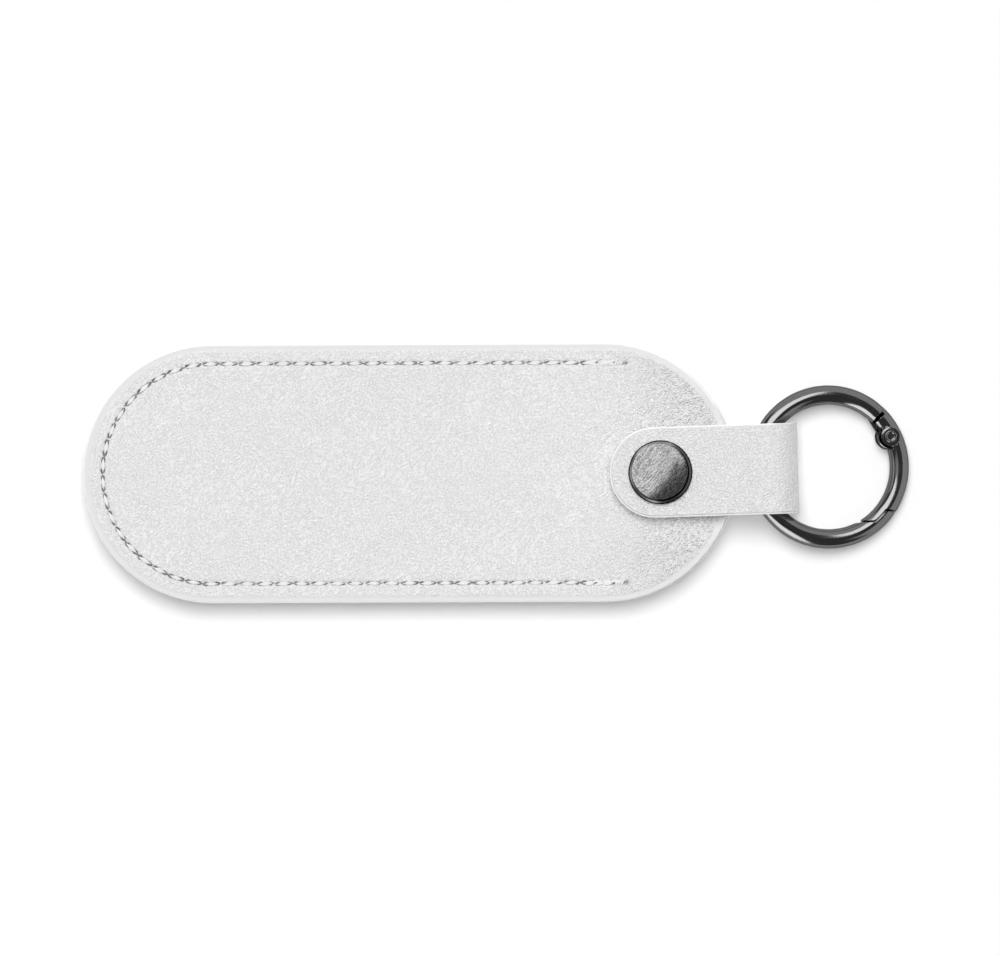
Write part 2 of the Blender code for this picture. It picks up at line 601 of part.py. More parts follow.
def add_ring_frame(metal, hinge, origin):
    """The fixed part of the ring, with a tongue into the gate's fork and the pin's hole."""
    frame = turned("ring_frame", torus_profile(), metal, hinge, origin, closed=True, sides=RING_SIDES)
    half = RING_WIRE / 2 + CUT_OVERRUN
    through = GATE_TIP_FOOT + RING_WIRE / 2 + CUT_OVERRUN
    space = slab("gate_space_guide", gate_outline(-GATE_SLOT_WIDTH, 0, through), -half, half)
    boolean(frame, place("gate_space_guide", space, carrier=hinge, origin=origin))

    pin = pin_place()
    root_angle = GATE_HINGE_ANGLE + (GATE_SLOT_WIDTH + TONGUE_RADIUS) / RING_MID_RADIUS
    root = Vector((math.cos(root_angle), math.sin(root_angle), 0)) * RING_MID_RADIUS
    along = (root - pin).to_2d()
    bearing = math.atan2(along.y, along.x)
    quarter = math.pi / 2
    around_pin = arc(pin, TONGUE_RADIUS, bearing + quarter, bearing + 3 * quarter, WIRE_SIDES)
    in_frame = arc(root, TONGUE_RADIUS, bearing - quarter, bearing + quarter, WIRE_SIDES)
    bottom = LAYER_GAP - FORK_SLOT / 2
    tongue = slab("tongue_guide", around_pin + in_frame, bottom, bottom + TONGUE_THICKNESS)
    boolean(frame, place("tongue_guide", tongue, carrier=hinge, origin=origin), "UNION")
    boolean(frame, disc_guide("tongue_hole_guide", pin, PIN_RADIUS + SHANK_GAP, half, hinge, origin))


def add_gate_spring(steel, hinge, origin):
    """A torsion spring of nearly one turn beside the tongue, round the pin."""
    pin = pin_place()
    bearing = PIN_ANGLE + math.pi / 2
    frame_side = Vector((math.cos(bearing), math.sin(bearing), 0))
    coil = GATE_SPRING_COIL_RADIUS
    start = bearing - math.pi / 2
    route = arc(pin, coil, start, start - 1.5 * math.pi, WIRE_SIDES)
    height = LAYER_GAP - FORK_SLOT / 2 + TONGUE_THICKNESS + LAYER_GAP + GATE_SPRING_WIRE / 2
    points = [Vector((x, y, height)) for x, y in route]
    outward = Vector((math.cos(PIN_ANGLE), math.sin(PIN_ANGLE), 0))
    points.insert(0, points[0] + frame_side * GATE_SPRING_LEG)
    points.append(points[-1] + outward * GATE_SPRING_CATCH)
    spring = tube("gate_spring", points, GATE_SPRING_WIRE / 2, SMALL_WIRE_SIDES)
    place("gate_spring", spring, steel, hinge, origin)


def add_gate_pin(metal, hinge, origin):
    """A pin with a low head at both ends."""
    inner = RING_WIRE / 2 + PIN_HEAD_GAP
    outer = inner + PIN_HEAD_THICKNESS
    upper = [(0, outer), (PIN_HEAD_RADIUS, outer), (PIN_HEAD_RADIUS, inner), (PIN_RADIUS, inner)]
    lower = [(radius, -height) for radius, height in reversed(upper)]
    turned("gate_pin", upper + lower, metal, hinge, Vector(origin) + pin_place(), sides=TURNED_SIDES // 2)


def add_ring_gate(metal, hinge, origin):
    """The sprung gate: a forked knuckle round the pin, and a tip lapped inside the frame's nose."""
    gate = turned("ring_gate", torus_profile(), metal, hinge, origin, closed=True, sides=RING_SIDES)
    half = RING_WIRE / 2 + CUT_OVERRUN
    outline = gate_outline(0, GATE_LATCH_GAP, GATE_TIP_FOOT, GATE_SLOT_WIDTH - GATE_LIP_GAP)
    share = slab("gate_share_guide", outline, -half, half)
    boolean(gate, place("gate_share_guide", share, carrier=hinge, origin=origin), "INTERSECT")

    pin = pin_place()
    top = RING_WIRE / 2
    step = top - KNUCKLE_STEP
    upper = [(0, top), (KNUCKLE_BOSS_RADIUS, top), (KNUCKLE_BOSS_RADIUS, step)]
    upper += [(KNUCKLE_RADIUS - KNUCKLE_STEP, step), (KNUCKLE_RADIUS, step - KNUCKLE_STEP)]
    lower = [(radius, -height) for radius, height in reversed(upper)]
    knuckle = turned("knuckle_guide", upper + lower, carrier=hinge, origin=Vector(origin) + pin)
    inside_band = disc_guide("band_guide", Vector(), pin.length + KNUCKLE_BOSS_RADIUS, half, hinge, origin)
    boolean(knuckle, inside_band, "INTERSECT")
    boolean(gate, knuckle, "UNION")

    back = RING_OUTER_RADIUS - FORK_BACK_WALL
    wall = TONGUE_RADIUS + FORK_WALL_GAP
    lowest = math.asin(wall / back)
    highest = GATE_HINGE_ANGLE + GATE_SLOT_WIDTH / RING_MID_RADIUS - PIN_ANGLE
    inner = RING_INNER_RADIUS - RING_WIRE
    corners = [(inner, -wall)] + arc((0, 0), back, -lowest, highest, WIRE_SIDES)
    corners.append((inner, back * math.sin(highest)))
    turn = Matrix.Rotation(PIN_ANGLE, 3, "Z")
    outline = [(turn @ Vector((*corner, 0))).to_2d() for corner in corners]
    fork = slab("fork_guide", outline, -FORK_SLOT / 2, FORK_SLOT / 2)
    boolean(gate, place("fork_guide", fork, carrier=hinge, origin=origin))
    boolean(gate, disc_guide("knuckle_hole_guide", pin, PIN_RADIUS + SHANK_GAP, half, hinge, origin))


def main():
    clear_scene()
    leather = principled("white faux leather", (0.78, 0.78, 0.78), 0.0, 0.55)
    thread = principled("white thread", (0.72, 0.72, 0.71), 0.0, 0.8)
    gunmetal = principled("gunmetal plate", (0.22, 0.22, 0.23), 1.0, 0.25)
    steel = principled("spring steel", (0.45, 0.45, 0.46), 1.0, 0.35)

    add_pouch(leather)
    add_thread("seam_thread_front", FRONT_PANEL_TOP - GROOVE_DEPTH, 1, thread)
    add_thread("seam_thread_back", BACK_PANEL_BOTTOM + GROOVE_DEPTH, -1, thread)
    add_snap_lower(gunmetal)

    swivel = pivot("strap_swivel_axis", (SNAP_X, 0, 0), (0, 0, STRAP_TURN))
    add_strap_loop(leather, swivel)
    add_rear_rivet(gunmetal, swivel)

    flap_reach, flap_height = flap_axis()
    flap_hinge = pivot("flap_open_axis", (flap_reach, 0, flap_height), parent=swivel)
    flap_origin = (-flap_reach, 0, -flap_height)
    add_strap_flap(leather, flap_hinge, flap_origin)
    add_snap_upper(gunmetal, steel, flap_hinge, flap_origin)

    ring_place = (FOLD_CENTRE_REACH, 0, FOLD_CENTRE_HEIGHT)
    ring_hinge = pivot("ring_swing_axis", ring_place, (0, RING_DROOP, 0), swivel)
    ring_origin = (RING_FROM_HINGE, 0, 0)
    add_ring_frame(gunmetal, ring_hinge, ring_origin)
    add_gate_spring(steel, ring_hinge, ring_origin)
    add_gate_pin(gunmetal, ring_hinge, ring_origin)

    pin = pin_place()
    gate_hinge = pivot("gate_open_axis", Vector(ring_origin) + pin, parent=ring_hinge)
    add_ring_gate(gunmetal, gate_hinge, -pin)

    bpy.context.view_layer.update()
    for empty in (swivel, flap_hinge, ring_hinge, gate_hinge):
        where = [round(value, 6) for value in empty.matrix_world.translation]
        across = [round(value, 5) for value in empty.matrix_world.col[1].to_3d()]
        normal = [round(value, 5) for value in empty.matrix_world.col[2].to_3d()]
        print(empty.name, "at", where, "across", across, "normal", normal)


main()
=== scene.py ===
"""A white faux leather keychain: the finished look of its pouch, strap, press stud and spring-gate ring.

Metres, with +Z up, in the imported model's frame: +X runs from the closed end of the pouch to the ring.
A sheet is first made flat, with u along it, v across it and h above its inner face. It is then laid or
bent into its place. The ring is drawn in its own plane, round its centre, and then tilted into place.
"""

import json
import math

import bmesh
import bpy
import numpy as np
from mathutils import Matrix, Vector


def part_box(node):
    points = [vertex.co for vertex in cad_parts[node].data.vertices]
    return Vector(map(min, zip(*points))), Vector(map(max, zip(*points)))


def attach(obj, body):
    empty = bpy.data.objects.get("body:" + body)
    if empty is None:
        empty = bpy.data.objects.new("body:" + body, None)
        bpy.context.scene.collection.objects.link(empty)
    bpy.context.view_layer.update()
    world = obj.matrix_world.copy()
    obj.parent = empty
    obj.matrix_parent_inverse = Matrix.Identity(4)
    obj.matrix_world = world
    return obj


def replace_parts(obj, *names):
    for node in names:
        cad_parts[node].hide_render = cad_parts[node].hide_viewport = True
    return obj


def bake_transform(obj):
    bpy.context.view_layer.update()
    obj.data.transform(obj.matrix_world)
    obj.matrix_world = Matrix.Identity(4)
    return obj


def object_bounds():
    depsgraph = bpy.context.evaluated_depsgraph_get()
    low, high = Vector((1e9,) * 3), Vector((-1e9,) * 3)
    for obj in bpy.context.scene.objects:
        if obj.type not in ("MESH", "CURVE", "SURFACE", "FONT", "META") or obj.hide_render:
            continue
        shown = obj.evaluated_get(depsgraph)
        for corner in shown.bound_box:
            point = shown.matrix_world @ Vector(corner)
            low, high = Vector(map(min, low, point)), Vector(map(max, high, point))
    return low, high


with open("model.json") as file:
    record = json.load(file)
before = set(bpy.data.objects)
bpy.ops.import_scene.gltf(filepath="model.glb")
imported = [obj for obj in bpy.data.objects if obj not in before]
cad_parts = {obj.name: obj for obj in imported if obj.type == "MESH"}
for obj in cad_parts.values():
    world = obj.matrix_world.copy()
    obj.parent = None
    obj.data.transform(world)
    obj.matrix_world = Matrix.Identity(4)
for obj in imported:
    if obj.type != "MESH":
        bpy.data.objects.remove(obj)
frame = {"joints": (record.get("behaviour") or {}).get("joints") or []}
CAD_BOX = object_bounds()
JOINTS = {joint["name"]: joint for joint in frame["joints"]}
MM = 0.001
QUARTER = math.pi / 2

# Pouch and its seam
PANEL_THICKNESS = 1.5 * MM
PANEL_EDGE_ROUND = 0.24 * MM
PANEL_COLUMN_STEP = 0.22 * MM
PANEL_ROW_STEP = 0.85 * MM
SEAM_ROW_STEP = 0.13 * MM
EDGE_ROW_STEP = 0.24 * MM
SEAM_INSET = 3.0 * MM
SEAM_RUN_PAST = 1.4 * MM
STITCH_PITCH = 2.8 * MM
STITCH_LENGTH = 2.2 * MM
HOLE_FROM_STITCH_MIDDLE = 0.84 * MM
HOLE_LENGTH = 1.0 * MM
HOLE_WIDTH = 0.5 * MM
HOLE_DEPTH = 0.3 * MM
PLY_DIAMETER = 0.28 * MM
PLY_OFFSET = 0.13 * MM
STITCH_RISE = 0.36 * MM
STITCH_SUNK = 0.28 * MM
FAR_FROM_STITCHES = 9.0
BACK_TACK_STITCHES = 3
BACK_TACK_SHIFT = 0.2 * MM
KNOT_STRANDS = 3
KNOT_LENGTH = 0.85 * MM
KNOT_SIZE = 0.6
KNOT_SLANT = math.radians(58)

# Strap and its fold
STRAP_WIDTH = 14.0 * MM
STRAP_THICKNESS = 1.4 * MM
STRAP_EDGE_ROUND = 0.17 * MM
STRAP_TIP_REACH = 7.8 * MM
STRAP_FLAT_REACH = 5.6 * MM
STRAP_COLUMN_STEP = 0.3 * MM
STRAP_ROW_STEP = 0.55 * MM
REAR_LEG_BOTTOM = 1.2 * MM
STRAP_JOIN_REACH = 14.4 * MM

# Press stud and rivet
LAYER_GAP = 0.2 * MM
SHANK_GAP = 0.2 * MM
METAL_EASE = 0.09 * MM
CAP_RADIUS = 4.95 * MM
CAP_DISC_RADIUS = 4.33 * MM
CAP_RIM_INNER_RADIUS = 4.44 * MM
CAP_RIM_OUTER_RADIUS = 4.77 * MM
CAP_RIM_SLOPE = math.radians(26)
CAP_DISC_SHIFT = 0.12 * MM
CAP_THICKNESS = 0.95 * MM
CAP_DOME_RISE = 0.25 * MM
CAP_GROOVE = 0.26 * MM
CAP_BASE_EASE = 0.12 * MM
CAP_SHANK_RADIUS = 1.2 * MM
SOCKET_RADIUS = 4.0 * MM
SOCKET_HEIGHT = 1.1 * MM
SOCKET_WEB = 0.4 * MM
SOCKET_BITE = 0.3 * MM
SOCKET_BORE_RADIUS = 2.4 * MM
SOCKET_GROOVE_DEPTH = 0.5 * MM
SOCKET_GROOVE_LIP = 0.15 * MM
SPRING_WIRE = 0.3 * MM
SOCKET_SPRING_OPENING = math.radians(25)
STUD_FLANGE_RADIUS = 3.2 * MM
STUD_FLANGE_THICKNESS = 0.4 * MM
STUD_HEAD_RADIUS = 1.9 * MM
STUD_HEAD_HEIGHT = 0.7 * MM
STUD_NECK_RADIUS = 1.6 * MM
STUD_SHOULDER_SHARE = 0.65
STUD_SHELL = 0.25 * MM
STUD_BITE = 0.2 * MM
POST_FLANGE_RADIUS = 3.0 * MM
POST_FLANGE_THICKNESS = 0.35 * MM
POST_FLANGE_PROUD = 0.05 * MM
POST_SHANK_RADIUS = 0.9 * MM
RIVET_CAP_RADIUS = 4.0 * MM
RIVET_CAP_FLAT_RADIUS = 2.6 * MM
RIVET_CAP_RIM_HEIGHT = 0.5 * MM
RIVET_SHANK_RADIUS = 1.2 * MM
RIVET_SHANK_WALL = 0.3 * MM
RIVET_PIN_GAP = 0.15 * MM

# Spring-gate ring
RING_MID_RADIUS = 11.13 * MM
RING_WIRE = 3.0 * MM
RING_SIDES = 240
WIRE_SIDES = 36
CUT_OVERRUN = 1.0 * MM
GATE_HINGE_ANGLE = math.radians(40.3)
GATE_SLOT_WIDTH = 0.6 * MM
GATE_LIP_WIDTH = 0.86 * MM
GATE_LIP_GAP = 0.06 * MM
GATE_NOSE_ANGLE = math.radians(-40.6)
GATE_TIP_ANGLE = math.radians(-52.8)
GATE_TIP_FOOT = 1.75 * MM
GATE_LAP_OUTWARD = 0.35 * MM
GATE_LATCH_GAP = 0.24 * MM
LAP_SLANT = math.radians(13)
PIN_ANGLE = math.radians(24.5)
PIN_INWARD = 0.5 * MM
PIN_RADIUS = 0.55 * MM
PIN_HEAD_RADIUS = 0.9 * MM
PIN_HEAD_THICKNESS = 0.2 * MM
PIN_HEAD_GAP = 0.1 * MM
PIN_DISH_RADIUS = 0.55 * MM
PIN_EASE = 0.11 * MM
PIN_DISH_DEPTH = 0.1 * MM
KNUCKLE_RADIUS = 2.06 * MM
KNUCKLE_STEP = 0.2 * MM
KNUCKLE_BOSS_RADIUS = 1.45 * MM
FORK_SLOT = 1.7 * MM
FORK_WALL_GAP = 0.25 * MM
FORK_BACK_WALL = 0.45 * MM
TONGUE_THICKNESS = 0.8 * MM
TONGUE_RADIUS = 1.3 * MM
GATE_SPRING_COIL_RADIUS = 0.95 * MM
GATE_SPRING_LEG = 2.4 * MM
GATE_SPRING_CATCH = 0.5 * MM
RING_EDGE_EASE = 0.08 * MM
TURNED_SIDES = 96

# The photograph is 1000 x 955, seen from straight above
VIEW_WIDTH = 154.62 * MM
VIEW_CENTRE = (0.55 * MM, -0.71 * MM)
VIEW_ROLL = math.radians(-0.22)
CAMERA_ABOVE_POUCH = 3.0
SENSOR_WIDTH = 36.0

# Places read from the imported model
FRONT_LOW, FRONT_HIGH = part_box("front_panel")
BACK_LOW, BACK_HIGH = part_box("back_panel")
LOOP_LOW, LOOP_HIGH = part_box("strap_loop")
FLAP_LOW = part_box("strap_flap")[0]
ROUND_RADIUS = (FRONT_HIGH.y - FRONT_LOW.y) / 2
CLOSED_END_X = FRONT_LOW.x + ROUND_RADIUS
MOUTH_END_X = BACK_HIGH.x - ROUND_RADIUS
SEAM_END_X = MOUTH_END_X + SEAM_RUN_PAST
ACROSS = Vector(JOINTS["flap_open"]["axis"]).normalized()
STRAP_TURN = math.atan2(-ACROSS.x, ACROSS.y)
SNAP_X = JOINTS["strap_swivel"]["pos_m"][0]
STRAP_PLACE = Matrix.Translation((SNAP_X, 0, 0)) @ Matrix.Rotation(STRAP_TURN, 4, "Z")
FRONT_LEG_BOTTOM = FLAP_LOW.z
FRONT_LEG_TOP = FRONT_LEG_BOTTOM + STRAP_THICKNESS
FOLD_OUTER_RADIUS = (LOOP_HIGH.z - LOOP_LOW.z) / 2
FOLD_MID_RADIUS = FOLD_OUTER_RADIUS - STRAP_THICKNESS / 2
FOLD_CENTRE_HEIGHT = LOOP_LOW.z + FOLD_OUTER_RADIUS
FOLD_END_REACH = (LOOP_HIGH.x - SNAP_X - STRAP_WIDTH / 2 * math.sin(STRAP_TURN)) / math.cos(STRAP_TURN)
FOLD_CENTRE_REACH = FOLD_END_REACH - FOLD_OUTER_RADIUS
RING_NORMAL = -Vector(JOINTS["gate_open"]["axis"]).normalized()


def ring_place():
    """The matrix from the ring's own plane, round its centre, to the model's frame."""
    ahead = ACROSS.cross(RING_NORMAL).normalized()
    turn = Matrix((ahead, ACROSS, RING_NORMAL)).transposed()
    centre = Vector(JOINTS["gate_open"]["pos_m"]) - turn @ pin_place()
    return Matrix.Translation(centre) @ turn.to_4x4()


def pin_place():
    radius = RING_MID_RADIUS - PIN_INWARD
    return Vector((radius * math.cos(PIN_ANGLE), radius * math.sin(PIN_ANGLE), 0))


def rise(low, high, value):
    """0 below low, 1 above high and a smooth rise between them."""
    share = np.clip((value - low) / (high - low), 0, 1)
    return share * share * (3 - 2 * share)


def bell(distance, width):
    """A smooth hump of height 1."""
    return np.exp(-((distance / width) ** 2))


def add_piece(mesh, name, material=None):
    piece = bpy.data.objects.new(name, mesh)
    bpy.context.scene.collection.objects.link(piece)
    if material:
        mesh.materials.clear()
        mesh.materials.append(material)
    return piece


def drop(piece):
    mesh = piece.data
    bpy.data.objects.remove(piece)
    if mesh.users == 0:
        bpy.data.meshes.remove(mesh)


def closed_mesh(bm, name, sharp_from):
    """A smooth mesh whose faces all point out."""
    bmesh.ops.recalc_face_normals(bm, faces=bm.faces)
    mesh = bpy.data.meshes.new(name)
    bm.to_mesh(mesh)
    bm.free()
    mesh.shade_smooth()
    mesh.set_sharp_from_angle(angle=math.radians(sharp_from))
    return mesh


def carve(piece, tool, operation="DIFFERENCE"):
    """Cuts, joins or keeps the common part with a tool, which is then thrown away."""
    modifier = piece.modifiers.new("Carve", "BOOLEAN")
    modifier.operation = operation
    modifier.solver = "EXACT"
    modifier.object = tool
    bpy.context.view_layer.update()
    cut = piece.evaluated_get(bpy.context.evaluated_depsgraph_get())
    mesh = bpy.data.meshes.new_from_object(cut)
    piece.modifiers.clear()
    old = piece.data
    piece.data = mesh
    bpy.data.meshes.remove(old)
    drop(tool)


def tidy(piece, merge, sharp_from):
    """Merges the specks that a cut leaves and sets which edges stay sharp."""
    bm = bmesh.new()
    bm.from_mesh(piece.data)
    bmesh.ops.remove_doubles(bm, verts=bm.verts, dist=merge)
    bmesh.ops.dissolve_degenerate(bm, edges=bm.edges, dist=merge)
    bmesh.ops.recalc_face_normals(bm, faces=bm.faces)
    bm.to_mesh(piece.data)
    bm.free()
    piece.data.shade_smooth()
    piece.data.set_sharp_from_angle(angle=math.radians(sharp_from))


def ease_edges(piece, width):
    """Breaks the sharp edges that the cuts leave, and gives them the piece's second material."""
    modifier = piece.modifiers.new("Ease", "BEVEL")
    modifier.width = width
    modifier.segments = 2
    modifier.limit_method = "ANGLE"
    modifier.angle_limit = math.radians(34)
    modifier.miter_outer = "MITER_ARC"
    modifier.harden_normals = False
    modifier.material = 1
    bpy.context.view_layer.update()
    eased = piece.evaluated_get(bpy.context.evaluated_depsgraph_get())
    mesh = bpy.data.meshes.new_from_object(eased)
    piece.modifiers.clear()
    old = piece.data
    piece.data = mesh
    bpy.data.meshes.remove(old)
    mesh.shade_smooth()
    mesh.set_sharp_from_angle(angle=math.radians(50))


def points_of(mesh):
    flat = np.empty(len(mesh.vertices) * 3)
    mesh.vertices.foreach_get("co", flat)
    return flat.reshape(-1, 3)


def set_points(mesh, points):
    mesh.vertices.foreach_set("co", points.ravel())
    mesh.update()


# Sheets of faux leather


def flat_sheet(name, left, right, radius, thickness, ease, insets, step, outer):
    """A closed sheet with round ends, lying flat: u, v across, h above its inner face.

    `insets` are the distances from the edge of its nested loops, and `outer` gives the outer face's relief.
    """
    turns = round(math.pi * radius / step)
    runs = round((right - left) / step)
    along = np.linspace(right, left, runs + 1)[1:-1]
    right_end = np.linspace(-QUARTER, QUARTER, turns + 1)
    left_end = right_end + math.pi
    feet = np.concatenate([np.full(turns + 1, right), along, np.full(turns + 1, left), along[::-1]])
    facing = np.concatenate([right_end, np.full(len(along), QUARTER), left_end])
    facing = np.concatenate([facing, np.full(len(along), -QUARTER)])

    eases = np.linspace(0, QUARTER, 6)[1:]
    inward = [d for d in sorted(insets, reverse=True) if d >= ease]
    rows = [(d, thickness, 1.0) for d in inward]
    rows += [(ease * (1 - math.sin(a)), thickness - ease * (1 - math.cos(a)), math.cos(a)) for a in eases]
    rows += [(ease * (1 - math.cos(a)), ease * (1 - math.sin(a)), 0.0) for a in eases]
    coarse = [d for i, d in enumerate(reversed(inward)) if i % 3 == 0 or d == max(inward)]
    rows += [(d, 0.0, 0.0) for d in coarse if d > ease]

    points = []
    for inset, height, share in rows:
        u = feet + (radius - inset) * np.cos(facing)
        v = (radius - inset) * np.sin(facing)
        h = height + (outer(u, v, np.full(len(u), inset)) * share if share else 0 * u)
        points.append(np.stack([u, v, h, np.full(len(u), inset)], axis=1))
    points = np.concatenate(points)
    count = len(feet)
    column = np.arange(count)
    beside = (column + 1) % count
    faces = []
    for i in range(len(rows) - 1):
        a, b = i * count, (i + 1) * count
        faces.append(np.stack([a + column, a + beside, b + beside, b + column], axis=1))

    mesh = bpy.data.meshes.new(name)
    mesh.from_pydata(points[:, :3].tolist(), [], np.concatenate(faces).tolist())
    edge = mesh.attributes.new("from_edge", "FLOAT", "POINT")
    edge.data.foreach_set("value", (points[:, 3] / MM).astype(np.float32))
    bm = bmesh.new()
    bm.from_mesh(mesh)
    bpy.data.meshes.remove(mesh)
    bmesh.ops.remove_doubles(bm, verts=bm.verts, dist=MM / 5000)
    return bm


def nested_insets(radius, *bands):
    """Distances of nested loops from the edge, as (until, step) bands and then the middle line."""
    insets, start = [], 0.0
    for until, step in bands:
        insets += list(np.arange(start, until, step))
        start = until
    return insets + [radius]


def seam_place(distance, radius):
    """Plan point and heading on the U of the seam, from its upper right end."""
    straight = MOUTH_END_X - CLOSED_END_X + SEAM_RUN_PAST
    bend = math.pi * radius
    if distance <= straight:
        return MOUTH_END_X + SEAM_RUN_PAST - distance, radius, math.pi
    if distance <= straight + bend:
        turn = (distance - straight) / radius
        return CLOSED_END_X - radius * math.sin(turn), radius * math.cos(turn), math.pi + turn
    return CLOSED_END_X + distance - straight - bend, -radius, 0.0


SEAM_RADIUS = ROUND_RADIUS - SEAM_INSET
SEAM_LENGTH = 2 * (MOUTH_END_X - CLOSED_END_X + SEAM_RUN_PAST) + math.pi * SEAM_RADIUS
STITCH_COUNT = round(SEAM_LENGTH / STITCH_PITCH)
PITCH = SEAM_LENGTH / STITCH_COUNT


def stitch_places():
    """The middle of each stitch, and of the knot at each end: x, y, heading."""
    middles = [PITCH * (i + 0.5) for i in range(STITCH_COUNT)]
    knots = [-0.25 * PITCH, SEAM_LENGTH + 0.25 * PITCH]
    return np.array([seam_place(middle, SEAM_RADIUS) for middle in middles + knots])


STITCHES = stitch_places()


def by_stitch(u, v):
    """Where points lie from the middle of the nearest stitch, in mm: ahead, aside and its own chance value."""
    gaps_u = (u[:, None] - STITCHES[None, :, 0]) / MM
    gaps_v = (v[:, None] - STITCHES[None, :, 1]) / MM
    nearest = np.hypot(gaps_u, gaps_v).argmin(axis=1)
    rows = np.arange(len(u))
    chance = np.sin(nearest * 12.9898) * 43758.5453
    chance = chance - np.floor(chance)
    heading = STITCHES[nearest, 2] + 0.12 * (chance - 0.5)
    near_u, near_v = gaps_u[rows, nearest], gaps_v[rows, nearest]
    ahead = near_u * np.cos(heading) + near_v * np.sin(heading)
    aside = near_v * np.cos(heading) - near_u * np.sin(heading)
    return np.abs(ahead), aside, chance


def pouch_relief(u, v, inset, dented):
    """How far a panel's outer face stands from flat, where the seam draws it in and the strap presses it."""
    d = inset / MM
    edge = -0.03 * bell(d - 0.78, 0.1) + 0.006 * np.sin(14 * d) * bell(d - 1.2, 0.7)
    valley = -0.06 * bell(d - 3.0, 0.5) + 0.02 * bell(d - 4.2, 0.8)
    along_seam = rise(SEAM_END_X + MM, SEAM_END_X - MM, u)
    pits = np.zeros_like(u)
    near = np.abs(d - 3.0) < 2.4
    if near.any():
        ahead, aside, chance = by_stitch(u[near], v[near])
        ahead = (ahead - HOLE_FROM_STITCH_MIDDLE / MM) / (HOLE_LENGTH / MM / 2)
        hole = np.exp(-((ahead / 1.1) ** 2) - (aside / (HOLE_WIDTH / MM / 2) / 1.1) ** 2)
        puckers = 0.03 * np.cos(7 * aside + 6.3 * chance) * bell(ahead, 1.6) * bell(aside, 1.1)
        pits[near] = puckers - HOLE_DEPTH / MM * hole
    x, y = u / MM, v / MM
    sway = 0.035 * np.sin(0.21 * x + 1.1) * np.cos(0.27 * y) + 0.03 * np.sin(0.13 * x - 0.31 * y + 2.0)
    sway = sway + 0.02 * np.sin(0.55 * x + 0.4 * y)
    relief = edge + valley * along_seam + pits + sway * rise(0.9, 3.0, d)
    if dented:
        relief = relief - 0.7 * bell(np.hypot((x - 32.5) / 6.0, (y - 7.6) / 3.2), 1.0)
        relief = relief - 0.3 * bell(np.hypot((x - 31.5) / 5.0, (y + 6.8) / 2.2), 1.0)
        fan = np.sin(3.1 * (y - 9.0) - 1.3 * (x - 31.0) + 0.8 * np.sin(1.3 * x))
        relief = relief + 0.035 * fan * bell(np.hypot((x - 31.0) / 5.5, (y - 8.6) / 3.0), 1.0)
    return relief * MM


def mark(mesh, name, kind, values):
    """Keeps a value on each point, for a finish to read."""
    layer = mesh.attributes.get(name) or mesh.attributes.new(name, kind, "POINT")
    key = "value" if kind == "FLOAT" else "vector"
    layer.data.foreach_set(key, np.asarray(values, dtype=np.float32).ravel())


def add_panel(name, right, outer_z, leather):
    """A panel of the pouch. Its outer face looks up or down, as outer_z is the higher or lower side."""
    looks_up = outer_z > (FRONT_LOW.z + BACK_HIGH.z) / 2
    out = 1 if looks_up else -1
    bands = ((2.2 * MM, EDGE_ROW_STEP), (3.8 * MM, SEAM_ROW_STEP), (6 * MM, EDGE_ROW_STEP))
    insets = nested_insets(ROUND_RADIUS, *bands, (ROUND_RADIUS, PANEL_ROW_STEP))

    def relief(u, v, inset):
        return pouch_relief(u, v, inset, looks_up)

    size = (ROUND_RADIUS, PANEL_THICKNESS, PANEL_EDGE_ROUND)
    bm = flat_sheet(name, CLOSED_END_X, right, *size, insets, PANEL_COLUMN_STEP, relief)
    for vert in bm.verts:
        vert.co.z = outer_z + out * (vert.co.z - PANEL_THICKNESS)
    return add_piece(closed_mesh(bm, name, 50), name, leather)


def mark_panel(panel, outer_z):
    """Notes where each point lies on the sheet, and from the nearest stitch if it is on the outer face."""
    points = points_of(panel.data)
    mark(panel.data, "laid", "FLOAT_VECTOR", points)
    outside = np.abs(points[:, 2] - outer_z) < 0.75 * MM
    placed = np.full((len(points), 3), FAR_FROM_STITCHES)
    placed[outside] = np.stack(by_stitch(points[outside, 0], points[outside, 1]), axis=1)
    mark(panel.data, "by_stitch", "FLOAT_VECTOR", placed)


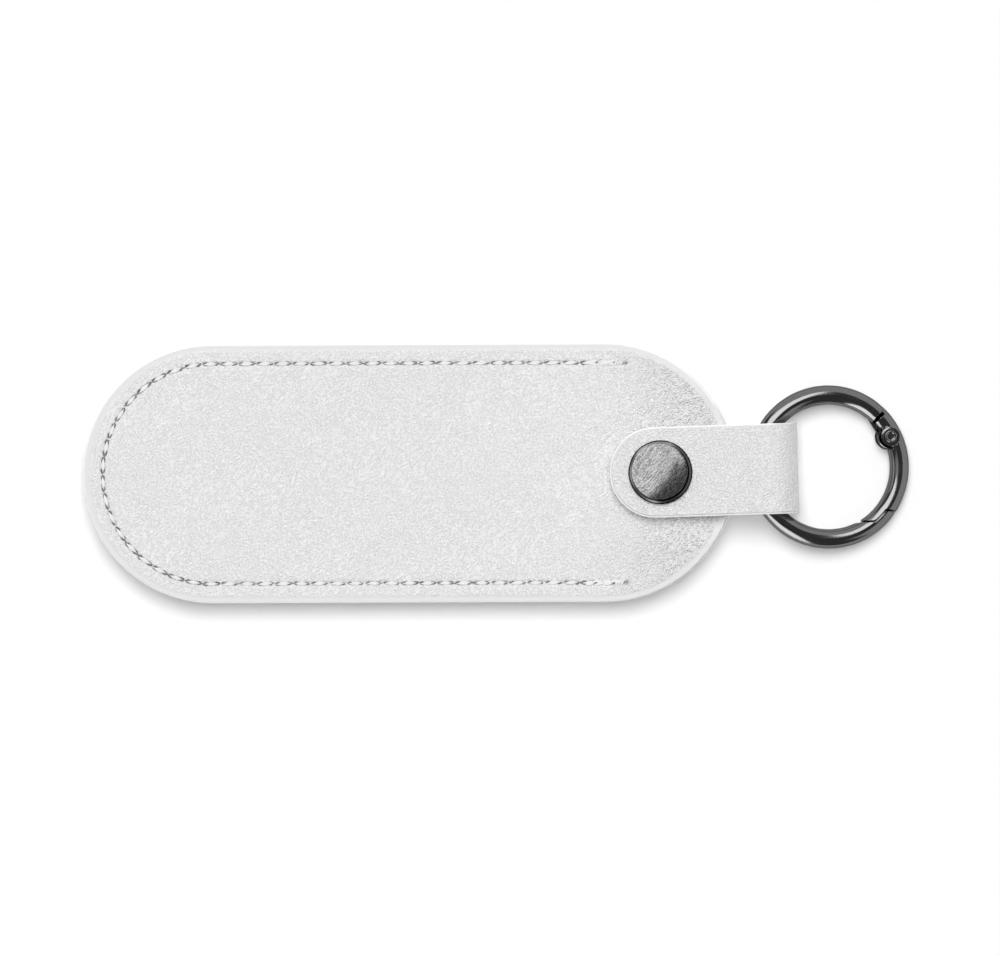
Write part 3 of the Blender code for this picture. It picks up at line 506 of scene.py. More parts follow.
def lathe(name, profile, place, sides=TURNED_SIDES, closed=False, ease=METAL_EASE, sharp_from=40):
    """A turned solid from (radius, z) corners, each corner eased into a small arc."""
    corners = [Vector(corner) for corner in profile]
    eased = []
    for i, corner in enumerate(corners):
        if not closed and i in (0, len(corners) - 1):
            eased.append(corner)
            continue
        before = corners[i - 1] - corner
        after = corners[(i + 1) % len(corners)] - corner
        cut = min(ease, before.length * 0.45, after.length * 0.45)
        start = corner + before.normalized() * cut
        end = corner + after.normalized() * cut
        straight = abs(before.normalized().dot(after.normalized())) > 0.98
        shares = (0.5,) if straight else (0, 0.33, 0.67, 1)
        eased += [start * (1 - t) ** 2 + corner * 2 * t * (1 - t) + end * t**2 for t in shares]
    bm = bmesh.new()
    turns = [2 * math.pi * k / sides for k in range(sides)]
    rings = []
    for radius, z in eased:
        if radius < MM / 1000:
            rings.append([bm.verts.new((0, 0, z))])
        else:
            rings.append([bm.verts.new((radius * math.cos(a), radius * math.sin(a), z)) for a in turns])
    pairs = list(zip(rings, rings[1:])) + ([(rings[-1], rings[0])] if closed else [])
    for ring, following in pairs:
        for k in range(sides):
            beside = (k + 1) % sides
            corners = [ring[k % len(ring)], ring[beside % len(ring)]]
            corners += [following[beside % len(following)], following[k % len(following)]]
            corners = list(dict.fromkeys(corners))
            if len(corners) > 2:
                bm.faces.new(corners)
    bmesh.ops.transform(bm, matrix=place, verts=bm.verts)
    return add_piece(closed_mesh(bm, name, sharp_from), name)


def wire(name, route, radius, place, sides=12):
    """A round wire with rounded ends along points whose run is never vertical."""
    bm = bmesh.new()
    up = Vector((0, 0, 1))
    rings = []
    stations = [(route[0], 0.35), *[(point, 1.0) for point in route], (route[-1], 0.35)]
    first = (route[0] - route[1]).normalized() * radius * 0.6
    last = (route[-1] - route[-2]).normalized() * radius * 0.6
    stations[0] = (route[0] + first, 0.45)
    stations[-1] = (route[-1] + last, 0.45)
    for i, (point, share) in enumerate(stations):
        ahead = stations[min(i + 1, len(stations) - 1)][0] - stations[max(i - 1, 0)][0]
        side = ahead.cross(up).normalized()
        lift = side.cross(ahead).normalized()
        turns = [2 * math.pi * k / sides for k in range(sides)]
        rings.append([
            bm.verts.new(point + radius * share * (math.cos(a) * side + math.sin(a) * lift)) for a in turns
        ])
    for ring, following in zip(rings, rings[1:]):
        for k in range(sides):
            beside = (k + 1) % sides
            bm.faces.new((ring[k], ring[beside], following[beside], following[k]))
    bm.faces.new(rings[0])
    bm.faces.new(rings[-1])
    bmesh.ops.transform(bm, matrix=place, verts=bm.verts)
    return add_piece(closed_mesh(bm, name, 60), name)


def arc(centre, radius, start, end, steps):
    """Points on an arc, both ends included."""
    turns = [start + (end - start) * i / steps for i in range(steps + 1)]
    return [(centre[0] + radius * math.cos(a), centre[1] + radius * math.sin(a)) for a in turns]


def slab(name, outline, bottom, top, slant=None):
    """A flat closed tool from a list of (x, y) points, in the ring's plane. It can lean by a slant per height."""
    bm = bmesh.new()
    face = bm.faces.new([bm.verts.new((x, y, bottom)) for x, y in outline])
    raised = bmesh.ops.extrude_face_region(bm, geom=[face])["geom"]
    rim = [item for item in raised if isinstance(item, bmesh.types.BMVert)]
    bmesh.ops.translate(bm, verts=rim, vec=(0, 0, top - bottom))
    if slant:
        for vert in bm.verts:
            vert.co.xy += slant * vert.co.z
    return add_piece(closed_mesh(bm, name, 30), name)


# Thread


def stitch_mesh(name, out):
    """One stitch of two plies, along X. They part in the middle like a leaf and dive into a hole at each end."""
    bm = bmesh.new()
    steps, sides = 10, 5
    shade = []
    for ply in range(2):
        rings = []
        for i in range(steps + 1):
            away = 2 * i / steps - 1
            swell = 1 - abs(away) ** 1.3
            lift = STITCH_RISE * (1 - away**4) - STITCH_SUNK
            turn = QUARTER * away + math.pi * ply
            y = PLY_OFFSET * math.cos(turn)
            z = out * (lift + PLY_OFFSET * 0.4 * math.sin(turn))
            radius = PLY_DIAMETER / 2 * (0.2 + 0.85 * swell)
            turns = [2 * math.pi * (k + 0.25) / sides for k in range(sides)]
            rings.append([
                bm.verts.new((away * STITCH_LENGTH / 2, y + radius * math.cos(a), z + radius * math.sin(a) * 0.8))
                for a in turns
            ])
            end = float(rise(0.62, 0.9, abs(away)))
            shade += [max(end, 0.8 * float(1 - rise(-0.2, 0.75, out * math.sin(a)))) for a in turns]
        for ring, following in zip(rings, rings[1:]):
            for k in range(sides):
                beside = (k + 1) % sides
                bm.faces.new((ring[k], ring[beside], following[beside], following[k]))
        bm.faces.new(rings[0])
        bm.faces.new(rings[-1])
    mesh = closed_mesh(bm, name, 80)
    mark(mesh, "shade", "FLOAT", shade)
    return add_piece(mesh, name)


def stitch_tree():
    """Sets a stitch at even places along a route, each with its own small turn."""
    tree = bpy.data.node_groups.new("Row of stitches", "GeometryNodeTree")
    face = tree.interface
    face.new_socket("Route", in_out="INPUT", socket_type="NodeSocketGeometry")
    sizes = (("Stitch", "Object"), ("Stitches", "Int"), ("Slant", "Float"), ("Wander", "Float"), ("Size", "Float"))
    for label, kind in (*sizes, ("Seed", "Int"), ("Thread", "Material")):
        face.new_socket(label, in_out="INPUT", socket_type=f"NodeSocket{kind}")
    face.new_socket("Stitches", in_out="OUTPUT", socket_type="NodeSocketGeometry")
    given = tree.nodes.new("NodeGroupInput")
    path = tree.nodes.new("GeometryNodeMeshToCurve")
    places = tree.nodes.new("GeometryNodeCurveToPoints")
    places.mode = "COUNT"
    heading = tree.nodes.new("FunctionNodeAlignRotationToVector")
    heading.axis = "X"
    heading.pivot_axis = "Z"
    wander = tree.nodes.new("ShaderNodeMath")
    wander.operation = "MULTIPLY"
    wander.inputs[1].default_value = -1
    yaw = tree.nodes.new("FunctionNodeRandomValue")
    yaw.data_type = "FLOAT"
    total = tree.nodes.new("ShaderNodeMath")
    total.operation = "ADD"
    spin = tree.nodes.new("ShaderNodeCombineXYZ")
    turned = tree.nodes.new("FunctionNodeRotateRotation")
    turned.rotation_space = "LOCAL"
    source = tree.nodes.new("GeometryNodeObjectInfo")
    size = tree.nodes.new("FunctionNodeRandomValue")
    size.data_type = "FLOAT"
    size.inputs[2].default_value = 0.93
    size.inputs[3].default_value = 1.05
    scaled = tree.nodes.new("ShaderNodeMath")
    scaled.operation = "MULTIPLY"
    placed = tree.nodes.new("GeometryNodeInstanceOnPoints")
    real = tree.nodes.new("GeometryNodeRealizeInstances")
    coloured = tree.nodes.new("GeometryNodeSetMaterial")
    out = tree.nodes.new("NodeGroupOutput")
    wires = (
        (given.outputs["Route"], path.inputs["Mesh"]),
        (path.outputs["Curve"], places.inputs["Curve"]),
        (given.outputs["Stitches"], places.inputs["Count"]),
        (places.outputs["Tangent"], heading.inputs["Vector"]),
        (given.outputs["Wander"], wander.inputs[0]),
        (wander.outputs[0], yaw.inputs[2]),
        (given.outputs["Wander"], yaw.inputs[3]),
        (given.outputs["Seed"], yaw.inputs["Seed"]),
        (yaw.outputs[1], total.inputs[0]),
        (given.outputs["Slant"], total.inputs[1]),
        (total.outputs[0], spin.inputs["Z"]),
        (heading.outputs["Rotation"], turned.inputs["Rotation"]),
        (spin.outputs[0], turned.inputs["Rotate By"]),
        (given.outputs["Stitch"], source.inputs["Object"]),
        (given.outputs["Seed"], size.inputs["Seed"]),
        (places.outputs["Points"], placed.inputs["Points"]),
        (source.outputs["Geometry"], placed.inputs["Instance"]),
        (turned.outputs["Rotation"], placed.inputs["Rotation"]),
        (size.outputs[1], scaled.inputs[0]),
        (given.outputs["Size"], scaled.inputs[1]),
        (scaled.outputs[0], placed.inputs["Scale"]),
        (placed.outputs["Instances"], real.inputs["Geometry"]),
        (real.outputs["Geometry"], coloured.inputs["Geometry"]),
        (given.outputs["Thread"], coloured.inputs["Material"]),
        (coloured.outputs["Geometry"], out.inputs["Stitches"]),
    )
    for start, end in wires:
        tree.links.new(start, end)
    return tree


def sew(name, tree, stitch, route, count, seed, thread, z, slant, size=1.0):
    """One row of stitches along plan points at height z, as a plain mesh."""
    mesh = bpy.data.meshes.new(name)
    edges = [(i, i + 1) for i in range(len(route) - 1)]
    mesh.from_pydata([(x, y, z) for x, y in route], edges, [])
    row = add_piece(mesh, name)
    modifier = row.modifiers.new("Stitches", "NODES")
    modifier.node_group = tree
    values = {"Stitch": stitch, "Stitches": count, "Slant": slant, "Wander": 0.06, "Size": size}
    values.update({"Seed": seed, "Thread": thread})
    for item in tree.interface.items_tree:
        if item.in_out == "INPUT" and item.name in values:
            modifier[item.identifier] = values[item.name]
    bpy.context.view_layer.update()
    made = bpy.data.meshes.new_from_object(row.evaluated_get(bpy.context.evaluated_depsgraph_get()))
    row.modifiers.clear()
    row.data = made
    bpy.data.meshes.remove(mesh)
    return row


def join(pieces, name):
    """Several meshes of one body as one piece."""
    bm = bmesh.new()
    for piece in pieces:
        bm.from_mesh(piece.data)
    materials = list(pieces[0].data.materials)
    mesh = bpy.data.meshes.new(name)
    bm.to_mesh(mesh)
    bm.free()
    for piece in pieces:
        drop(piece)
    mesh.shade_smooth()
    return add_piece(mesh, name, materials[0])


def seam_route(start, end, radius):
    steps = max(2, round((end - start) / (0.4 * MM)))
    return [seam_place(start + (end - start) * i / steps, radius)[:2] for i in range(steps + 1)]


def add_seam(name, surface_z, out, seed, tree, thread):
    """One face's stitches along the U. A few are sewn over each other at both of its ends, with a small knot."""
    stitch = stitch_mesh(name + "_stitch", out)
    slant = math.radians(3.5) * out
    route = seam_route(PITCH / 2, SEAM_LENGTH - PITCH / 2, SEAM_RADIUS)
    rows = [sew(name + "_run", tree, stitch, route, STITCH_COUNT, seed, thread, surface_z, slant)]
    tack = PITCH * (BACK_TACK_STITCHES - 1) / 2
    starts = (PITCH * 0.25, SEAM_LENGTH - PITCH * 0.25 - tack)
    knots = (-KNOT_LENGTH, SEAM_LENGTH)
    for k in range(2):
        for side in (-1, 1):
            route = seam_route(starts[k], starts[k] + tack, SEAM_RADIUS + side * BACK_TACK_SHIFT)
            z = surface_z + out * (0.05 + 0.04 * side) * MM
            lean = slant + side * 0.16
            label = f"{name}_tack_{k}_{side}"
            rows.append(sew(label, tree, stitch, route, BACK_TACK_STITCHES, seed + k + side, thread, z, lean, 0.8))
        route = seam_route(knots[k], knots[k] + KNOT_LENGTH, SEAM_RADIUS)
        lean = KNOT_SLANT * out
        z = surface_z + out * 0.1 * MM
        label = f"{name}_knot_{k}"
        rows.append(sew(label, tree, stitch, route, KNOT_STRANDS, seed + 5 + k, thread, z, lean, KNOT_SIZE))
    drop(stitch)
    return join(rows, name)


# Strap


def strap_route():
    """The strap's middle line, from the front tip round the fold to the rear tip: run, reach, height."""
    front_flat = FRONT_LEG_BOTTOM + STRAP_THICKNESS / 2
    front_level = FOLD_CENTRE_HEIGHT + FOLD_MID_RADIUS
    rear_flat = REAR_LEG_BOTTOM + STRAP_THICKNESS / 2
    rear_level = FOLD_CENTRE_HEIGHT - FOLD_MID_RADIUS
    reach = np.linspace(-STRAP_TIP_REACH, FOLD_CENTRE_REACH, 160)
    share = rise(STRAP_FLAT_REACH, FOLD_CENTRE_REACH, reach)
    turn = np.linspace(0, math.pi, 90)[1:-1]
    reaches = np.concatenate([reach, FOLD_CENTRE_REACH + FOLD_MID_RADIUS * np.sin(turn), reach[::-1]])
    front = front_flat + (front_level - front_flat) * share
    rear = rear_flat + (rear_level - rear_flat) * share
    heights = np.concatenate([front, FOLD_CENTRE_HEIGHT + FOLD_MID_RADIUS * np.cos(turn), rear[::-1]])
    steps = np.hypot(np.diff(reaches), np.diff(heights))
    run = np.concatenate([[0], np.cumsum(steps)])
    return run, reaches, heights


STRAP_RUN, STRAP_REACHES, STRAP_HEIGHTS = strap_route()
FOLD_MIDDLE_RUN = STRAP_RUN[STRAP_REACHES.argmax()]


def bend_strap(mesh):
    """Carries a flat strap's points onto its middle line, and turns it into its place on the snap's axis."""
    u, v, h = points_of(mesh).T
    ahead_r = np.gradient(STRAP_REACHES, STRAP_RUN)
    ahead_z = np.gradient(STRAP_HEIGHTS, STRAP_RUN)
    length = np.hypot(ahead_r, ahead_z)
    out_r = np.interp(u, STRAP_RUN, -ahead_z / length)
    out_z = np.interp(u, STRAP_RUN, ahead_r / length)
    size = np.hypot(out_r, out_z)
    lift = (h - STRAP_THICKNESS / 2) / size
    reach = np.interp(u, STRAP_RUN, STRAP_REACHES) + lift * out_r
    height = np.interp(u, STRAP_RUN, STRAP_HEIGHTS) + lift * out_z
    flare = 1 + 0.016 * bell(u - FOLD_MIDDLE_RUN, 1.6 * MM) * rise(0, STRAP_THICKNESS, h)
    across = v * flare
    cos, sin = math.cos(STRAP_TURN), math.sin(STRAP_TURN)
    x = SNAP_X + reach * cos - across * sin
    y = reach * sin + across * cos
    set_points(mesh, np.stack([x, y, height], axis=1))


def strap_relief(u, v, inset):
    """The strap's outer face: a creased edge, and swelling round the cap and the rivet."""
    d = inset / MM
    edge = 0.006 * bell(d - 0.4, 0.25) - 0.014 * bell(d - 0.75, 0.12)
    cap = np.hypot(u - STRAP_TIP_REACH, v) / MM
    rivet = np.hypot(u - STRAP_RUN[-1] + STRAP_TIP_REACH, v) / MM
    swell = 0.17 * (1 - rise(4.7, 6.4, cap)) - 0.05 * bell(cap - 5.6, 0.35)
    behind = 0.12 * (1 - rise(3.8, 5.6, rivet))
    x, y = u / MM, v / MM
    sway = 0.03 * np.sin(0.5 * x + 0.7) * np.cos(0.35 * y) * rise(1.0, 3.0, d)
    crush = 0.012 * np.sin(1.7 * y + 0.6 * np.sin(0.8 * x)) * bell(u - FOLD_MIDDLE_RUN, 2.6 * MM) * rise(1.0, 3.0, d)
    return (edge + swell + behind + sway + crush) * MM


def add_strap(leather):
    """The strap in two lengths, which meet under the fold."""
    radius = STRAP_WIDTH / 2
    total = STRAP_RUN[-1]
    insets = nested_insets(radius, (1.5 * MM, 0.15 * MM), (radius, STRAP_ROW_STEP))
    cut = total - (STRAP_JOIN_REACH + STRAP_TIP_REACH)
    pieces = []
    for name, keeps_front in (("strap_front", True), ("strap_rear", False)):
        size = (radius, STRAP_THICKNESS, STRAP_EDGE_ROUND)
        bm = flat_sheet(name, radius, total - radius, *size, insets, STRAP_COLUMN_STEP, strap_relief)
        everything = list(bm.verts) + list(bm.edges) + list(bm.faces)
        bmesh.ops.bisect_plane(bm, geom=everything, dist=MM / 5000, plane_co=(cut, 0, 0), plane_no=(1, 0, 0),
                               clear_outer=keeps_front, clear_inner=not keeps_front)
        rim = [edge for edge in bm.edges if edge.is_boundary]
        bmesh.ops.holes_fill(bm, edges=rim, sides=0)
        mesh = closed_mesh(bm, name, 50)
        points = points_of(mesh)
        mark(mesh, "laid", "FLOAT_VECTOR", points)
        mark(mesh, "by_stitch", "FLOAT_VECTOR", np.full_like(points, FAR_FROM_STITCHES))
        # Painted light: the fold's outer end is marked, so that its finish can make it paler.
        mark(mesh, "fold_painted_light", "FLOAT", bell(points[:, 0] - FOLD_MIDDLE_RUN, 2.1 * MM))
        bend_strap(mesh)
        pieces.append(add_piece(mesh, name, leather))
    return pieces


# Metal pieces


def add_snap_upper(finish, plain):
    """The cap, with its domed disc in a rolled rim, and the socket and spring under the strap."""
    base = FRONT_LEG_TOP + LAYER_GAP
    rim = base + CAP_THICKNESS
    web_top = FRONT_LEG_BOTTOM + SOCKET_BITE
    web_bottom = web_top - SOCKET_WEB
    mouth = web_top - SOCKET_HEIGHT
    shares = [i / 16 for i in range(17)]
    cap = [(CAP_DISC_RADIUS * t, rim + CAP_DOME_RISE * (1 - t**3)) for t in shares]
    groove = (CAP_DISC_RADIUS + CAP_RIM_INNER_RADIUS) / 2
    cap += [(groove, rim - CAP_GROOVE), (CAP_RIM_INNER_RADIUS, rim)]
    wide = CAP_RADIUS - CAP_RIM_OUTER_RADIUS
    fall = rim - (CAP_RIM_OUTER_RADIUS - CAP_RIM_INNER_RADIUS) * math.tan(CAP_RIM_SLOPE)
    turns = [QUARTER * i / 6 for i in range(7)]
    cap += [(CAP_RIM_OUTER_RADIUS + wide * math.sin(a), fall - 2 * wide * (1 - math.cos(a))) for a in turns]
    cap += [(CAP_RADIUS, base + CAP_BASE_EASE), (CAP_RADIUS - CAP_BASE_EASE, base), (CAP_SHANK_RADIUS, base)]
    cap += [(CAP_SHANK_RADIUS, web_bottom), (0, web_bottom)]
    snap_cap = lathe("snap_cap_turned", cap, STRAP_PLACE, ease=0.03 * MM)

    groove = SOCKET_BORE_RADIUS + SOCKET_GROOVE_DEPTH
    groove_top = web_bottom - SOCKET_GROOVE_LIP
    groove_bottom = mouth + SOCKET_GROOVE_LIP
    hole = CAP_SHANK_RADIUS + SHANK_GAP
    socket = [(hole, web_top), (SOCKET_RADIUS, web_top), (SOCKET_RADIUS, mouth), (SOCKET_BORE_RADIUS, mouth)]
    socket += [(SOCKET_BORE_RADIUS, groove_bottom), (groove, groove_bottom), (groove, groove_top)]
    socket += [(SOCKET_BORE_RADIUS, groove_top), (SOCKET_BORE_RADIUS, web_bottom), (hole, web_bottom)]
    snap_socket = lathe("snap_socket_turned", socket, STRAP_PLACE, closed=True)

    height = (groove_top + groove_bottom) / 2
    radius = SOCKET_BORE_RADIUS + SPRING_WIRE / 2
    route = arc((0, 0), radius, SOCKET_SPRING_OPENING, 2 * math.pi - SOCKET_SPRING_OPENING, 60)
    spring = wire("snap_spring_wire", [Vector((x, y, height)) for x, y in route], SPRING_WIRE / 2, STRAP_PLACE)
    points = points_of(snap_cap.data)
    far = np.hypot(points[:, 0] - SNAP_X, points[:, 1])
    mark(snap_cap.data, "outward", "FLOAT", far / MM)
    on_disc = (points[:, 2] > rim - 1.5 * CAP_GROOVE) * (1 - rise(CAP_DISC_RADIUS, CAP_RIM_INNER_RADIUS, far))
    points[:, :2] += np.outer(on_disc, (-CAP_DISC_SHIFT, CAP_DISC_SHIFT))
    set_points(snap_cap.data, points)
    for piece, node, material in (
        (snap_cap, "snap_cap", finish),
        (snap_socket, "snap_socket", plain),
        (spring, "snap_spring", plain),
    ):
        piece.data.materials.append(material)
        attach(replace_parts(piece, node), "flap")


def add_snap_lower(plain):
    """The stud on the front panel and its post inside the pocket."""
    place = Matrix.Translation((SNAP_X, 0, 0))
    base = FRONT_HIGH.z - STUD_BITE
    flange = base + STUD_FLANGE_THICKNESS
    top = flange + STUD_HEAD_HEIGHT
    bore = POST_SHANK_RADIUS + SHANK_GAP
    ceiling = top - STUD_SHELL
    shoulder = flange + STUD_HEAD_HEIGHT * STUD_SHOULDER_SHARE
    stud = [(0, top), (STUD_NECK_RADIUS, top), (STUD_HEAD_RADIUS, shoulder), (STUD_NECK_RADIUS, flange)]
    stud += [(STUD_FLANGE_RADIUS, flange), (STUD_FLANGE_RADIUS, base)]
    stud += [(bore, base), (bore, ceiling), (0, ceiling)]
    flange_bottom = FRONT_LOW.z - POST_FLANGE_PROUD
    flange_top = flange_bottom + POST_FLANGE_THICKNESS
    end = ceiling - SHANK_GAP
    post = [(0, end), (POST_SHANK_RADIUS, end), (POST_SHANK_RADIUS, flange_top)]
    post += [(POST_FLANGE_RADIUS, flange_top), (POST_FLANGE_RADIUS, flange_bottom), (0, flange_bottom)]
    for name, profile in (("snap_stud", stud), ("snap_post", post)):
        piece = lathe(name + "_turned", profile, place)
        piece.data.materials.append(plain)
        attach(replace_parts(piece, name), "pouch")


def add_rear_rivet(plain):
    """The rivet's cap under the strap's rear leg, and the post that closes it inside the pocket."""
    low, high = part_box("rear_rivet_cap")
    cap_top = REAR_LEG_BOTTOM - LAYER_GAP
    flange_top = BACK_HIGH.z + POST_FLANGE_PROUD
    flange_bottom = flange_top - POST_FLANGE_THICKNESS
    bore = RIVET_SHANK_RADIUS - RIVET_SHANK_WALL
    cap = [(0, cap_top), (bore, cap_top), (bore, high.z), (RIVET_SHANK_RADIUS, high.z)]
    cap += [(RIVET_SHANK_RADIUS, cap_top), (RIVET_CAP_RADIUS, cap_top)]
    rim = [(1 - (1 - i / 8) ** 2) for i in range(9)]
    wide = RIVET_CAP_RADIUS - RIVET_CAP_FLAT_RADIUS
    cap += [(RIVET_CAP_RADIUS - wide * (i / 8) ** 1.6, RIVET_CAP_RIM_HEIGHT * (1 - rim[i])) for i in range(9)]
    cap.append((0, low.z))
    end = cap_top + SHANK_GAP
    pin = bore - RIVET_PIN_GAP
    post = [(0, flange_top), (POST_FLANGE_RADIUS, flange_top), (POST_FLANGE_RADIUS, flange_bottom)]
    post += [(pin, flange_bottom), (pin, end), (0, end)]
    for name, profile in (("rear_rivet_cap", cap), ("rear_rivet_post", post)):
        piece = lathe(name + "_turned", profile, STRAP_PLACE)
        piece.data.materials.append(plain)
        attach(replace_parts(piece, name), "strap")


def gate_outline(slot, gap, foot, lip=0):
    """The gate's part of the ring in plan: a slot and an outer lip at the hinge, and a gap at the lap."""
    outer = RING_MID_RADIUS + RING_WIRE / 2 + CUT_OVERRUN
    inner = RING_MID_RADIUS - RING_WIRE / 2 - CUT_OVERRUN
    lap = RING_MID_RADIUS + GATE_LAP_OUTWARD
    nose = Vector((lap * math.cos(GATE_NOSE_ANGLE), lap * math.sin(GATE_NOSE_ANGLE)))
    to_pin = (pin_place().to_2d() - nose).normalized()
    outward = Vector((to_pin.y, -to_pin.x))
    overlap = arc(to_pin * gap, lap - gap / 2, GATE_TIP_ANGLE, GATE_NOSE_ANGLE, 24)
    nose_end = Vector(overlap[-1]) + outward * RING_WIRE
    foot_end = Vector(overlap[0]) - outward * foot
    hinge = GATE_HINGE_ANGLE - slot / RING_MID_RADIUS
    start = math.atan2(nose_end.y, nose_end.x)
    end = math.atan2(foot_end.y, foot_end.x)
    lip_end = hinge + lip / RING_MID_RADIUS
    outside = arc((0, 0), outer, start, lip_end, 60)
    if lip:
        outside += arc((0, 0), RING_MID_RADIUS + RING_WIRE / 2 - GATE_LIP_WIDTH, lip_end, hinge, 1)
    inside = arc((0, 0), inner, hinge, end, 60)
    return [tuple(nose_end)] + outside + inside + [tuple(foot_end)] + overlap


def wire_ring(name):
    """The ring's whole wire, round its centre."""
    bm = bmesh.new()
    rings = []
    for i in range(RING_SIDES):
        turn = 2 * math.pi * (i + 0.5) / RING_SIDES
        ring = []
        for k in range(WIRE_SIDES):
            about = 2 * math.pi * (k + 0.5) / WIRE_SIDES
            radius = RING_MID_RADIUS + RING_WIRE / 2 * math.cos(about)
            place = (radius * math.cos(turn), radius * math.sin(turn), RING_WIRE / 2 * math.sin(about))
            ring.append(bm.verts.new(place))
        rings.append(ring)
    for i, ring in enumerate(rings):
        following = rings[(i + 1) % RING_SIDES]
        for k in range(WIRE_SIDES):
            beside = (k + 1) % WIRE_SIDES
            bm.faces.new((ring[k], ring[beside], following[beside], following[k]))
    return add_piece(closed_mesh(bm, name, 60), name)


def round_tool(name, radius, half):
    profile = [(0, half), (radius, half), (radius, -half), (0, -half)]
    return lathe(name, profile, Matrix.Translation(pin_place()), sides=48, ease=0)


